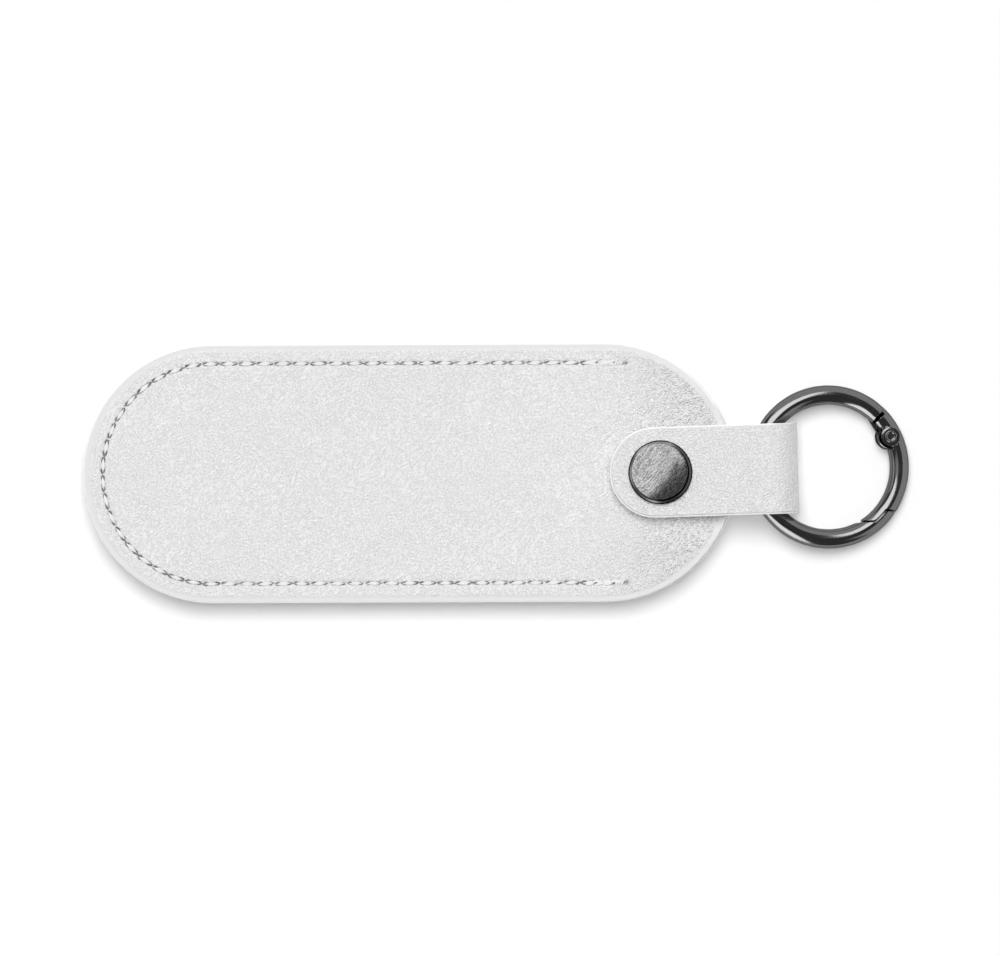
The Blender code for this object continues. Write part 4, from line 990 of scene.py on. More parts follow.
def add_ring(place, finish, edge_highlight, plain):
    """The ring's frame, its sprung gate, the hinge pin and the spring beside the tongue."""
    half = RING_WIRE / 2 + CUT_OVERRUN
    pin = pin_place()

    ring_frame = wire_ring("ring_frame_wire")
    through = GATE_TIP_FOOT + RING_WIRE / 2 + CUT_OVERRUN
    slant = Vector((0, math.tan(LAP_SLANT)))
    carve(ring_frame, slab("gate_space", gate_outline(-GATE_SLOT_WIDTH, 0, through), -half, half, slant))
    root_angle = GATE_HINGE_ANGLE + (GATE_SLOT_WIDTH + TONGUE_RADIUS) / RING_MID_RADIUS
    root = Vector((math.cos(root_angle), math.sin(root_angle), 0)) * RING_MID_RADIUS
    along = (root - pin).to_2d()
    bearing = math.atan2(along.y, along.x)
    around_pin = arc(pin, TONGUE_RADIUS, bearing + QUARTER, bearing + 3 * QUARTER, 32)
    in_frame = arc(root, TONGUE_RADIUS, bearing - QUARTER, bearing + QUARTER, 16)
    bottom = LAYER_GAP - FORK_SLOT / 2
    carve(ring_frame, slab("tongue", around_pin + in_frame, bottom, bottom + TONGUE_THICKNESS), "UNION")
    carve(ring_frame, round_tool("tongue_hole", PIN_RADIUS + SHANK_GAP / 2, half))

    ring_gate = wire_ring("ring_gate_wire")
    outline = gate_outline(0, GATE_LATCH_GAP, GATE_TIP_FOOT, GATE_SLOT_WIDTH - GATE_LIP_GAP)
    carve(ring_gate, slab("gate_share", outline, -half, half, slant), "INTERSECT")
    top = RING_WIRE / 2
    step = top - KNUCKLE_STEP
    upper = [(0, top), (KNUCKLE_BOSS_RADIUS, top), (KNUCKLE_BOSS_RADIUS, step)]
    upper += [(KNUCKLE_RADIUS - KNUCKLE_STEP, step), (KNUCKLE_RADIUS, step - KNUCKLE_STEP)]
    lower = [(radius, -height) for radius, height in reversed(upper)]
    knuckle = lathe("knuckle", upper + lower, Matrix.Translation(pin), sides=72, ease=0)
    band = pin.length + KNUCKLE_BOSS_RADIUS
    carve(knuckle, slab("band", arc((0, 0), band, -math.pi, math.pi - 0.02, 240), -half, half), "INTERSECT")
    carve(ring_gate, knuckle, "UNION")
    back = RING_MID_RADIUS + RING_WIRE / 2 - FORK_BACK_WALL
    wall = TONGUE_RADIUS + FORK_WALL_GAP
    lowest = math.asin(wall / back)
    highest = GATE_HINGE_ANGLE + GATE_SLOT_WIDTH / RING_MID_RADIUS - PIN_ANGLE
    inner = RING_MID_RADIUS - 1.5 * RING_WIRE
    corners = [(inner, -wall)] + arc((0, 0), back, -lowest, highest, 32)
    corners.append((inner, back * math.sin(highest)))
    turn = Matrix.Rotation(PIN_ANGLE, 3, "Z")
    outline = [(turn @ Vector((*corner, 0))).to_2d() for corner in corners]
    carve(ring_gate, slab("fork", outline, -FORK_SLOT / 2, FORK_SLOT / 2))
    carve(ring_gate, round_tool("knuckle_hole", PIN_RADIUS + SHANK_GAP / 2, half))

    inner = RING_WIRE / 2 + PIN_HEAD_GAP
    outer = inner + PIN_HEAD_THICKNESS
    dish = outer - PIN_DISH_DEPTH
    upper = [(0, dish), (PIN_DISH_RADIUS, dish), (PIN_DISH_RADIUS + PIN_DISH_DEPTH, outer)]
    upper += [(PIN_HEAD_RADIUS, outer), (PIN_HEAD_RADIUS, inner), (PIN_RADIUS, inner)]
    lower = [(radius, -height) for radius, height in reversed(upper)]
    gate_pin = lathe("gate_pin_turned", upper + lower, place @ Matrix.Translation(pin), sides=64, ease=PIN_EASE)

    bearing = PIN_ANGLE + QUARTER
    frame_side = Vector((math.cos(bearing), math.sin(bearing), 0))
    start = bearing - QUARTER
    route = arc(pin, GATE_SPRING_COIL_RADIUS, start, start - 1.5 * math.pi, 48)
    height = LAYER_GAP - FORK_SLOT / 2 + TONGUE_THICKNESS + LAYER_GAP + SPRING_WIRE / 2
    points = [Vector((x, y, height)) for x, y in route]
    outward = Vector((math.cos(PIN_ANGLE), math.sin(PIN_ANGLE), 0))
    points.insert(0, points[0] + frame_side * GATE_SPRING_LEG)
    points.append(points[-1] + outward * GATE_SPRING_CATCH)
    spring = wire("gate_spring_wire", points, SPRING_WIRE / 2, place)

    for piece in (ring_frame, ring_gate):
        tidy(piece, 0.004 * MM, 32)
        piece.data.materials.clear()
        for material in (finish, edge_highlight):
            piece.data.materials.append(material)
        for face in piece.data.polygons:
            face.material_index = 0
        ease_edges(piece, RING_EDGE_EASE)
        for face in piece.data.polygons:
            # Only the eased faces that look up out of the ring's plane keep the paler metal, a painted highlight. On
            # the frame, only those on its +Y half keep it.
            face.material_index *= int(face.normal.z > 0.25 and (piece == ring_gate or face.center.y > 0))
        piece.data.transform(place)
    for material in (finish, edge_highlight):
        gate_pin.data.materials.append(material)
    # The pin's eased rims get the paler metal too, a painted highlight.
    axle = place @ pin
    for face in gate_pin.data.polygons:
        away = face.center - axle
        outward = (away - RING_NORMAL * away.dot(RING_NORMAL)).length > PIN_HEAD_RADIUS - PIN_EASE
        face.material_index = int(outward and 0.2 < abs(face.normal.dot(RING_NORMAL)) < 0.97)
    spring.data.materials.append(plain)
    for piece, node, body, slot in (
        (ring_frame, "ring_frame", "ring", "gunmetal_ring"),
        (ring_gate, "ring_gate", "gate", "gunmetal_ring"),
        (gate_pin, "gate_pin", "ring", "gunmetal_ring"),
        (spring, "gate_spring", "ring", "spring_steel"),
    ):
        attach(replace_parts(piece, node), body)


# Finishes

# A flat level of the painted valley shade for the plain margin, so that it is as dark as the grained sheet.
MARGIN_VALLEY_SHADE = 0.95


def new_finish(name):
    material = bpy.data.materials.new(name)
    material.use_nodes = True
    return material, material.node_tree, material.node_tree.nodes["Principled BSDF"]


def put(tree, kind, feeds=None, **settings):
    """Adds a node with its settings. Each feed is a value or the output that drives the input."""
    made = tree.nodes.new(kind)
    for key, value in settings.items():
        setattr(made, key, value)
    for key, value in (feeds or {}).items():
        if isinstance(value, bpy.types.NodeSocket):
            tree.links.new(value, made.inputs[key])
        else:
            made.inputs[key].default_value = value
    return made


def maths(tree, operation, first, second=0.0, third=0.0):
    return put(tree, "ShaderNodeMath", {0: first, 1: second, 2: third}, operation=operation).outputs[0]


def ramp(tree, value, low, high, to_low=0.0, to_high=1.0):
    """A smooth step of a value between two others."""
    feeds = {"Value": value, "From Min": low, "From Max": high, "To Min": to_low, "To Max": to_high}
    return put(tree, "ShaderNodeMapRange", feeds, interpolation_type="SMOOTHSTEP").outputs["Result"]


def drawn_out(tree, place, angle, along):
    """Coordinates that run slower along a slanted direction, so that a pattern is drawn out on it."""
    turned = put(tree, "ShaderNodeVectorRotate", {"Vector": place, "Angle": -angle}, rotation_type="Z_AXIS")
    feeds = {0: turned.outputs[0], 1: (along, 1.0, 1.0)}
    return put(tree, "ShaderNodeVectorMath", feeds, operation="MULTIPLY").outputs[0]


def warped(tree, place, scale, reach):
    """Coordinates pushed about a little, so that a pattern on them isn't regular."""
    noise = put(tree, "ShaderNodeTexNoise", {"Vector": place, "Scale": scale, "Detail": 2.0})
    feeds = {0: noise.outputs["Color"], 1: (0.5, 0.5, 0.5)}
    shift = put(tree, "ShaderNodeVectorMath", feeds, operation="SUBTRACT")
    shift = put(tree, "ShaderNodeVectorMath", {0: shift.outputs[0], "Scale": reach}, operation="SCALE")
    return put(tree, "ShaderNodeVectorMath", {0: place, 1: shift.outputs[0]}, operation="ADD").outputs[0]


def pebbles(tree, place, angle, along, scale, low, high):
    """Small domes with narrow valleys between them, drawn out on a slant: 1 on top and 0 in a valley."""
    lean = warped(tree, drawn_out(tree, place, math.radians(angle), along), scale / 3, 0.9 / scale)
    cells = put(tree, "ShaderNodeTexVoronoi", {"Vector": lean, "Scale": scale, "Randomness": 0.9})
    return ramp(tree, cells.outputs["Distance"], low, high, 1.0, 0.0)


def needle_hole(tree, place):
    """How deep in a needle hole a point is, 0 to 1, and how near it lies to the side of the thread: the masks for
    the painted shade in the holes and the painted shadow beside the thread.
    """
    noise = put(tree, "ShaderNodeTexNoise", {"Vector": place, "Scale": 3600.0, "Detail": 1.0}).outputs["Fac"]
    placed = put(tree, "ShaderNodeAttribute", attribute_name="by_stitch").outputs["Vector"]
    parts = put(tree, "ShaderNodeSeparateXYZ", {0: placed})
    ahead, aside, chance = parts.outputs["X"], parts.outputs["Y"], parts.outputs["Z"]
    aside = maths(tree, "ABSOLUTE", aside)
    x, y = (put(tree, "ShaderNodeSeparateXYZ", {0: place}).outputs[axis] for axis in ("X", "Y"))
    on_bend = ramp(tree, x, CLOSED_END_X - 6 * MM, CLOSED_END_X + 2 * MM, 1.0, 0.0)
    tacked = ramp(tree, x, SEAM_END_X - 9 * MM, SEAM_END_X - 6 * MM, 0.0, 1.0)
    # The painted shade is larger and darker near the bend and near the tacked ends.
    more_painted_shade = maths(tree, "MAXIMUM", on_bend, tacked)
    size = maths(tree, "MULTIPLY_ADD", chance, 0.35, maths(tree, "MULTIPLY_ADD", more_painted_shade, 0.2, 0.85))
    from_hole = maths(tree, "SUBTRACT", ahead, HOLE_FROM_STITCH_MIDDLE / MM)
    from_hole = maths(tree, "DIVIDE", maths(tree, "MULTIPLY", from_hole, 2 * MM / HOLE_LENGTH), size)
    off_line = maths(tree, "DIVIDE", maths(tree, "MULTIPLY", aside, 2 * MM / HOLE_WIDTH), size)
    far = maths(tree, "ADD", maths(tree, "POWER", maths(tree, "ABSOLUTE", from_hole), 1.4),
                maths(tree, "POWER", off_line, 1.3))
    far = maths(tree, "MULTIPLY_ADD", noise, 2.2, maths(tree, "SUBTRACT", far, 1.1))
    hole = ramp(tree, far, 0.7, 1.25, 1.0, 0.0)
    hole = maths(tree, "MULTIPLY", hole, ramp(tree, x, SEAM_END_X - 0.3 * MM, SEAM_END_X, 1.0, 0.35))
    beside = ramp(tree, aside, 0.24, 0.44, 1.0, 0.0)
    beside = maths(tree, "MULTIPLY", beside, ramp(tree, ahead, 0.9, 1.25, 1.0, 0.0))
    beside = maths(tree, "MULTIPLY", beside, ramp(tree, noise, 0.35, 0.65, 0.1, 1.0))
    beside = maths(tree, "MULTIPLY", beside, maths(tree, "MULTIPLY_ADD", more_painted_shade, 0.9, 0.55))
    return hole, beside


def leather_finish(name, light, creased_from, creased_to, plain_edge):
    """White faux leather: a fine pressed grain drawn out on a slant, coarser where the sheet is creased, with
    painted shade in its valleys.

    The grain fades out towards the smooth edge over the plain width, in millimetres. Painted light makes the thin
    outer edge and the outer end of a fold paler. Painted shade darkens the needle holes, and a painted shadow
    lies beside the thread.
    """
    material, tree, shader = new_finish(name)
    place = put(tree, "ShaderNodeAttribute", attribute_name="laid").outputs["Vector"]
    fine = pebbles(tree, place, 48, 0.8, 4300.0, 0.12, 0.6)
    coarse = pebbles(tree, place, 42, 0.68, 3100.0, 0.12, 0.55)
    rows_place = drawn_out(tree, place, math.radians(50), 0.42)
    rows = put(tree, "ShaderNodeTexNoise", {"Vector": rows_place, "Scale": 5600.0, "Detail": 0.0}).outputs["Fac"]
    rows = ramp(tree, rows, 0.32, 0.68)
    across_place = drawn_out(tree, place, math.radians(-35), 0.7)
    across = put(tree, "ShaderNodeTexNoise", {"Vector": across_place, "Scale": 5200.0, "Detail": 0.0}).outputs["Fac"]
    dust = put(tree, "ShaderNodeTexNoise", {"Vector": place, "Scale": 6500.0, "Detail": 2.0}).outputs["Fac"]
    broad = put(tree, "ShaderNodeTexNoise", {"Vector": place, "Scale": 260.0, "Detail": 3.0}).outputs["Fac"]

    edge = put(tree, "ShaderNodeAttribute", attribute_name="from_edge").outputs["Fac"]
    inside = ramp(tree, edge, plain_edge, 2 * plain_edge)
    along = put(tree, "ShaderNodeSeparateXYZ", {0: place}).outputs["X"]
    creased = ramp(tree, along, creased_from, creased_to)
    creased = maths(tree, "MULTIPLY", creased, ramp(tree, broad, 0.3, 0.7, 0.9, 1.1))

    height = maths(tree, "MULTIPLY_ADD", fine, 0.5, maths(tree, "MULTIPLY_ADD", rows, 0.6, across))
    height = maths(tree, "MULTIPLY_ADD", maths(tree, "MULTIPLY", coarse, creased), 2.1, height)
    height = maths(tree, "MULTIPLY", height, inside)
    height = maths(tree, "MULTIPLY_ADD", dust, 0.25, height)
    relief = put(tree, "ShaderNodeBump", {"Height": height, "Strength": 1.0, "Distance": 0.0001})

    # Painted shade: the grain's valleys, and more so the coarse valleys where the sheet is creased, get a darker
    # base colour.
    valley_shade = maths(tree, "MULTIPLY_ADD", fine, 0.5, maths(tree, "MULTIPLY", rows, 0.5))
    valley_shade = maths(tree, "SUBTRACT", 1.0, valley_shade)
    deep = maths(tree, "MULTIPLY", maths(tree, "SUBTRACT", 1.0, coarse), creased)
    valley_shade = maths(tree, "MULTIPLY_ADD", deep, 1.0, maths(tree, "MULTIPLY_ADD", creased, -0.8, valley_shade))
    valley_shade = maths(tree, "MULTIPLY_ADD", maths(tree, "SUBTRACT", valley_shade, MARGIN_VALLEY_SHADE), inside, MARGIN_VALLEY_SHADE)
    grain = put(tree, "ShaderNodeMix", {0: valley_shade}, data_type="RGBA")
    grain.inputs[6].default_value = (light, light, light * 0.998, 1)
    grain.inputs[7].default_value = (light * 0.74, light * 0.74, light * 0.74, 1)
    # Painted light: the outer end of the strap's fold and a thin line at the very edge get a paler base colour.
    pale = put(tree, "ShaderNodeAttribute", attribute_name="fold_painted_light").outputs["Fac"]
    pale = maths(tree, "MAXIMUM", ramp(tree, edge, 0.1, 0.2, 1.0, 0.0), pale)
    painted_edge_and_fold_light = put(tree, "ShaderNodeMix", {0: pale}, data_type="RGBA")
    painted_edge_and_fold_light.inputs[7].default_value = (0.92, 0.92, 0.92, 1)
    tree.links.new(grain.outputs[2], painted_edge_and_fold_light.inputs[6])
    hole, beside = needle_hole(tree, place)
    # Painted shadow: a dark line on the leather beside the thread.
    thread_side_shadow = put(tree, "ShaderNodeMix", {0: maths(tree, "MULTIPLY", beside, 0.6)}, data_type="RGBA")
    thread_side_shadow.inputs[7].default_value = (0.25, 0.25, 0.25, 1)
    tree.links.new(painted_edge_and_fold_light.outputs[2], thread_side_shadow.inputs[6])
    # Painted shade in the needle holes.
    shade = put(tree, "ShaderNodeMix", {0: maths(tree, "MULTIPLY", hole, 0.8)}, data_type="RGBA")
    shade.inputs[7].default_value = (0.04, 0.04, 0.04, 1)
    tree.links.new(thread_side_shadow.outputs[2], shade.inputs[6])
    tree.links.new(shade.outputs[2], shader.inputs["Base Color"])
    rough = maths(tree, "MULTIPLY_ADD", valley_shade, 0.15, ramp(tree, edge, 0.3, 1.0, 0.38, 0.5))
    tree.links.new(rough, shader.inputs["Roughness"])
    tree.links.new(relief.outputs["Normal"], shader.inputs["Normal"])
    shader.inputs["Specular IOR Level"].default_value = 0.4
    return material


def thread_finish():
    """White polyester thread: fine fibres across each ply, with painted shade at the ends of each stitch and along
    its lower sides, and more near the bend and the tacked ends.
    """
    material, tree, shader = new_finish("white thread")
    place = put(tree, "ShaderNodeTexCoord").outputs["Object"]
    fibres = put(tree, "ShaderNodeTexNoise", {"Vector": place, "Scale": 9000.0, "Detail": 3.0, "Roughness": 0.7})
    soft = put(tree, "ShaderNodeTexNoise", {"Vector": place, "Scale": 1300.0, "Detail": 2.0})
    tone = maths(tree, "ADD", maths(tree, "MULTIPLY", fibres.outputs["Fac"], 0.6),
                 maths(tree, "MULTIPLY", soft.outputs["Fac"], 0.4))
    shade = put(tree, "ShaderNodeMix", {0: ramp(tree, tone, 0.35, 0.65)}, data_type="RGBA")
    shade.inputs[6].default_value = (0.66, 0.66, 0.66, 1)
    shade.inputs[7].default_value = (0.86, 0.86, 0.85, 1)
    low = put(tree, "ShaderNodeAttribute", attribute_name="shade").outputs["Fac"]
    x = put(tree, "ShaderNodeSeparateXYZ", {0: place}).outputs["X"]
    # Painted shade on the thread near the bend and near the tacked ends, mottled by its fibres.
    thread_shade_near_ends = ramp(tree, x, CLOSED_END_X - 6 * MM, CLOSED_END_X + 2 * MM, 0.4, 0.0)
    thread_shade_near_ends = maths(tree, "MAXIMUM", thread_shade_near_ends, ramp(tree, x, SEAM_END_X - 9 * MM, SEAM_END_X - 6 * MM, 0.0, 0.6))
    low = maths(tree, "MAXIMUM", low, maths(tree, "MULTIPLY", thread_shade_near_ends, ramp(tree, fibres.outputs["Fac"], 0.4, 0.6)))
    shaded = put(tree, "ShaderNodeMix", {0: maths(tree, "MULTIPLY", low, 0.85)}, data_type="RGBA")
    shaded.inputs[7].default_value = (0.1, 0.1, 0.1, 1)
    tree.links.new(shade.outputs[2], shaded.inputs[6])
    tree.links.new(shaded.outputs[2], shader.inputs["Base Color"])
    relief = put(tree, "ShaderNodeBump", {"Height": fibres.outputs["Fac"], "Strength": 0.8, "Distance": 0.00003})
    tree.links.new(relief.outputs["Normal"], shader.inputs["Normal"])
    shader.inputs["Roughness"].default_value = 0.75
    shader.inputs["Sheen Weight"].default_value = 0.15
    return material


def ring_finish():
    """Polished gunmetal plate with faint scratches and small dull patches."""
    material, tree, shader = new_finish("polished gunmetal")
    place = put(tree, "ShaderNodeTexCoord").outputs["Object"]
    patches = put(tree, "ShaderNodeTexNoise", {"Vector": place, "Scale": 260.0, "Detail": 4.0})
    lean = put(tree, "ShaderNodeVectorRotate", {"Vector": place, "Angle": math.radians(35)}, rotation_type="Z_AXIS")
    drawn = put(tree, "ShaderNodeVectorMath", {0: lean.outputs[0], 1: (0.05, 1.0, 0.3)}, operation="MULTIPLY")
    marks = put(tree, "ShaderNodeTexNoise", {"Vector": drawn.outputs[0], "Scale": 7000.0, "Detail": 2.0})
    mark = ramp(tree, marks.outputs["Fac"], 0.6, 0.75)
    rough = ramp(tree, patches.outputs["Fac"], 0.3, 0.7, 0.06, 0.13)
    rough = maths(tree, "ADD", rough, maths(tree, "MULTIPLY", mark, 0.1))
    tree.links.new(rough, shader.inputs["Roughness"])
    shader.inputs["Specular Tint"].default_value = (0.35, 0.35, 0.35, 1)
    shade = put(tree, "ShaderNodeMix", {0: patches.outputs["Fac"]}, data_type="RGBA")
    shade.inputs[6].default_value = (0.15, 0.15, 0.152, 1)
    shade.inputs[7].default_value = (0.185, 0.185, 0.188, 1)
    tree.links.new(shade.outputs[2], shader.inputs["Base Color"])
    specks = put(tree, "ShaderNodeTexNoise", {"Vector": place, "Scale": 5200.0, "Detail": 2.0}).outputs["Fac"]
    height = maths(tree, "MULTIPLY_ADD", mark, 0.3, specks)
    relief = put(tree, "ShaderNodeBump", {"Height": height, "Strength": 1.0, "Distance": 0.000005})
    tree.links.new(relief.outputs["Normal"], shader.inputs["Normal"])
    shader.inputs["Metallic"].default_value = 1.0
    return material


def edge_highlight_finish():
    """Paler metal on eased edges, a painted highlight, dulled in spots."""
    material, tree, shader = new_finish("painted edge highlight")
    place = put(tree, "ShaderNodeTexCoord").outputs["Object"]
    spots = put(tree, "ShaderNodeTexNoise", {"Vector": place, "Scale": 1500.0, "Detail": 3.0}).outputs["Fac"]
    shade = put(tree, "ShaderNodeMix", {0: ramp(tree, spots, 0.4, 0.6)}, data_type="RGBA")
    shade.inputs[6].default_value = (0.3, 0.3, 0.3, 1)
    shade.inputs[7].default_value = (0.68, 0.68, 0.68, 1)
    tree.links.new(shade.outputs[2], shader.inputs["Base Color"])
    tree.links.new(ramp(tree, spots, 0.3, 0.7, 0.3, 0.45), shader.inputs["Roughness"])
    shader.inputs["Metallic"].default_value = 1.0
    return material


def cap_finish():
    """Brushed gunmetal: short crossing scratches and specks, a darker rim, and painted shade in the groove round the
    disc and on the rim's outer slope.
    """
    material, tree, shader = new_finish("brushed gunmetal")
    place = put(tree, "ShaderNodeTexCoord").outputs["Object"]
    layers = []
    for angle, scale, stretch in ((-45, 6500.0, 0.25), (-49, 5200.0, 0.1), (38, 8500.0, 0.35)):
        lean = put(tree, "ShaderNodeVectorRotate", {"Vector": place, "Angle": math.radians(angle)},
                   rotation_type="Z_AXIS")
        feeds = {0: lean.outputs[0], 1: (stretch, 1.0, 1.0)}
        drawn = put(tree, "ShaderNodeVectorMath", feeds, operation="MULTIPLY")
        feeds = {"Vector": drawn.outputs[0], "Scale": scale, "Detail": 3.0}
        layers.append(put(tree, "ShaderNodeTexNoise", feeds).outputs["Fac"])
    blotch = put(tree, "ShaderNodeTexNoise", {"Vector": place, "Scale": 5200.0, "Detail": 2.0, "Roughness": 0.8})
    crossing = maths(tree, "MAXIMUM", layers[1], maths(tree, "MULTIPLY", layers[2], 0.9))
    brushed = maths(tree, "MAXIMUM", layers[0], crossing)
    height = maths(tree, "ADD", brushed, maths(tree, "MULTIPLY", blotch.outputs["Fac"], 0.5))
    relief = put(tree, "ShaderNodeBump", {"Height": height, "Strength": 0.3, "Distance": 0.00001})
    tree.links.new(relief.outputs["Normal"], shader.inputs["Normal"])
    tone = maths(tree, "MULTIPLY", blotch.outputs["Fac"], 0.4)
    tone = maths(tree, "ADD", tone, maths(tree, "MULTIPLY", brushed, 0.6))
    shade = put(tree, "ShaderNodeMix", {0: ramp(tree, tone, 0.475, 0.61)}, data_type="RGBA")
    shade.inputs[6].default_value = (0.16, 0.16, 0.16, 1)
    shade.inputs[7].default_value = (0.42, 0.42, 0.42, 1)
    out = put(tree, "ShaderNodeAttribute", attribute_name="outward").outputs["Fac"]
    on_rim = ramp(tree, out, CAP_DISC_RADIUS / MM - 0.02, CAP_DISC_RADIUS / MM + 0.06)
    rim = put(tree, "ShaderNodeMix", {0: on_rim}, data_type="RGBA")
    rim.inputs[7].default_value = (0.16, 0.16, 0.16, 1)
    tree.links.new(shade.outputs[2], rim.inputs[6])
    # Painted shade: near black in the groove round the disc and on the rim's outer slope.
    in_groove = maths(tree, "ABSOLUTE", maths(tree, "SUBTRACT", out, CAP_DISC_RADIUS / MM + 0.06))
    dark = maths(tree, "MAXIMUM", ramp(tree, in_groove, 0.05, 0.1, 0.9, 0.0),
                 ramp(tree, out, CAP_RIM_OUTER_RADIUS / MM - 0.04, CAP_RIM_OUTER_RADIUS / MM + 0.02))
    painted_rim_shade = put(tree, "ShaderNodeMix", {0: dark}, data_type="RGBA")
    painted_rim_shade.inputs[7].default_value = (0.012, 0.012, 0.012, 1)
    tree.links.new(rim.outputs[2], painted_rim_shade.inputs[6])
    tree.links.new(painted_rim_shade.outputs[2], shader.inputs["Base Color"])
    tree.links.new(ramp(tree, tone, 0.4, 0.7, 0.16, 0.26), shader.inputs["Roughness"])
    shader.inputs["Specular Tint"].default_value = (0.45, 0.45, 0.45, 1)
    shader.inputs["Metallic"].default_value = 1.0
    return material


def steel_finish():
    """Turned steel with fine lathe marks, for the hidden half of the stud, the rivet and the springs."""
    material, tree, shader = new_finish("turned steel")
    place = put(tree, "ShaderNodeTexCoord").outputs["Object"]
    marks = put(tree, "ShaderNodeTexNoise", {"Vector": place, "Scale": 3000.0, "Detail": 4.0})
    shade = put(tree, "ShaderNodeMix", {0: marks.outputs["Fac"]}, data_type="RGBA")
    shade.inputs[6].default_value = (0.28, 0.28, 0.29, 1)
    shade.inputs[7].default_value = (0.4, 0.4, 0.41, 1)
    tree.links.new(shade.outputs[2], shader.inputs["Base Color"])
    tree.links.new(ramp(tree, marks.outputs["Fac"], 0.3, 0.7, 0.25, 0.42), shader.inputs["Roughness"])
    relief = put(tree, "ShaderNodeBump", {"Height": marks.outputs["Fac"], "Strength": 0.2, "Distance": 0.00001})
    tree.links.new(relief.outputs["Normal"], shader.inputs["Normal"])
    shader.inputs["Metallic"].default_value = 1.0
    return material


# Studio


def seen_white(tree):
    """1 for the rays that should find a white background: from the camera, a gloss or a glass."""
    path = put(tree, "ShaderNodeLightPath")
    first = maths(tree, "MAXIMUM", path.outputs["Is Camera Ray"], path.outputs["Is Glossy Ray"])
    return maths(tree, "MAXIMUM", first, path.outputs["Is Transmission Ray"])


def add_floor():
    bm = bmesh.new()
    half = 3.0
    corners = ((-half, -half), (half, -half), (half, half), (-half, half))
    bm.faces.new([bm.verts.new((x, y, CAD_BOX[0].z - 0.02 * MM)) for x, y in corners])
    mesh = bpy.data.meshes.new("floor")
    bm.to_mesh(mesh)
    bm.free()
    material = bpy.data.materials.new("white floor")
    material.use_nodes = True
    tree = material.node_tree
    tree.nodes.clear()
    matte = put(tree, "ShaderNodeBsdfDiffuse", {"Color": (0.9, 0.9, 0.9, 1)})
    glow = put(tree, "ShaderNodeEmission", {"Strength": maths(tree, "MULTIPLY", seen_white(tree), 0.01)})
    both = put(tree, "ShaderNodeAddShader", {0: matte.outputs[0], 1: glow.outputs[0]})
    put(tree, "ShaderNodeOutputMaterial", {"Surface": both.outputs[0]})
    add_piece(mesh, "floor", material)


def add_world():
    world = bpy.data.worlds.new("soft room")
    bpy.context.scene.world = world
    world.use_nodes = True
    tree = world.node_tree
    tree.nodes.clear()
    level = maths(tree, "ADD", maths(tree, "MULTIPLY", seen_white(tree), 0.8), 0.2)
    sky = put(tree, "ShaderNodeBackground", {"Color": (1, 1, 1, 1), "Strength": level})
    put(tree, "ShaderNodeOutputWorld", {"Surface": sky.outputs[0]})


def glowing(name):
    """A panel that only gloss sees, as bright as its own values say."""
    material = bpy.data.materials.new(name)
    material.use_nodes = True
    tree = material.node_tree
    tree.nodes.clear()
    level = put(tree, "ShaderNodeAttribute", attribute_name="glow").outputs["Fac"]
    light = put(tree, "ShaderNodeEmission", {"Strength": level})
    put(tree, "ShaderNodeOutputMaterial", {"Surface": light.outputs[0]})
    return material


def only_for_gloss(panel):
    for kind in ("camera", "diffuse", "shadow", "transmission", "volume_scatter"):
        setattr(panel, f"visible_{kind}", False)


def add_tent():
    """Dark flags, a white wall and two soft boxes round the object, which its metal reflects."""
    rows, columns, radius = 87, 240, 1.6
    points, glow = [], []
    for i in range(rows + 1):
        polar = math.radians(87) * i / rows
        for k in range(columns):
            turn = 2 * math.pi * k / columns
            across = radius * math.sin(polar)
            points.append((across * math.cos(turn), across * math.sin(turn), radius * math.cos(polar)))
            glow.append(tent_glow(math.degrees(polar), math.degrees(turn)))
    faces = []
    for i in range(rows):
        for k in range(columns):
            beside = (k + 1) % columns
            a, b = i * columns, (i + 1) * columns
            faces.append((a + k, b + k, b + beside, a + beside))
    mesh = bpy.data.meshes.new("tent")
    mesh.from_pydata(points, [], faces)
    mark(mesh, "glow", "FLOAT", glow)
    only_for_gloss(add_piece(mesh, "tent", glowing("flags and boxes")))


def tent_glow(polar, turn):
    """The level of the tent in a direction: polar from straight up, turn counterclockwise from +X, in degrees."""
    x = math.sin(math.radians(polar)) * math.cos(math.radians(turn))
    y = math.sin(math.radians(polar)) * math.sin(math.radians(turn))
    upper_box = (1 - rise(0.24, 0.33, x)) * rise(-0.58, -0.44, x)
    upper_box = upper_box * rise(0.09, 0.16, y) * (1 - rise(0.64, 0.67, y))
    edge_card = (1 - rise(-0.2, -0.1, x)) * rise(-0.75, -0.62, x) * rise(-0.16, -0.06, y) * (1 - rise(0.09, 0.16, y))
    middle, half = 38, 88
    away = abs((turn - middle + 180) % 360 - 180)
    wall = (1 - rise(half - 6, half + 6, away)) * rise(43.5, 44.5, polar) * (1 - upper_box)
    lower_box = (1 - rise(-0.66, -0.6, y)) * rise(-0.85, -0.75, x) * (1 - rise(-0.1, 0.0, x))
    return float(0.13 + 3.8 * (upper_box + lower_box) + 0.7 * edge_card + 0.84 * wall)


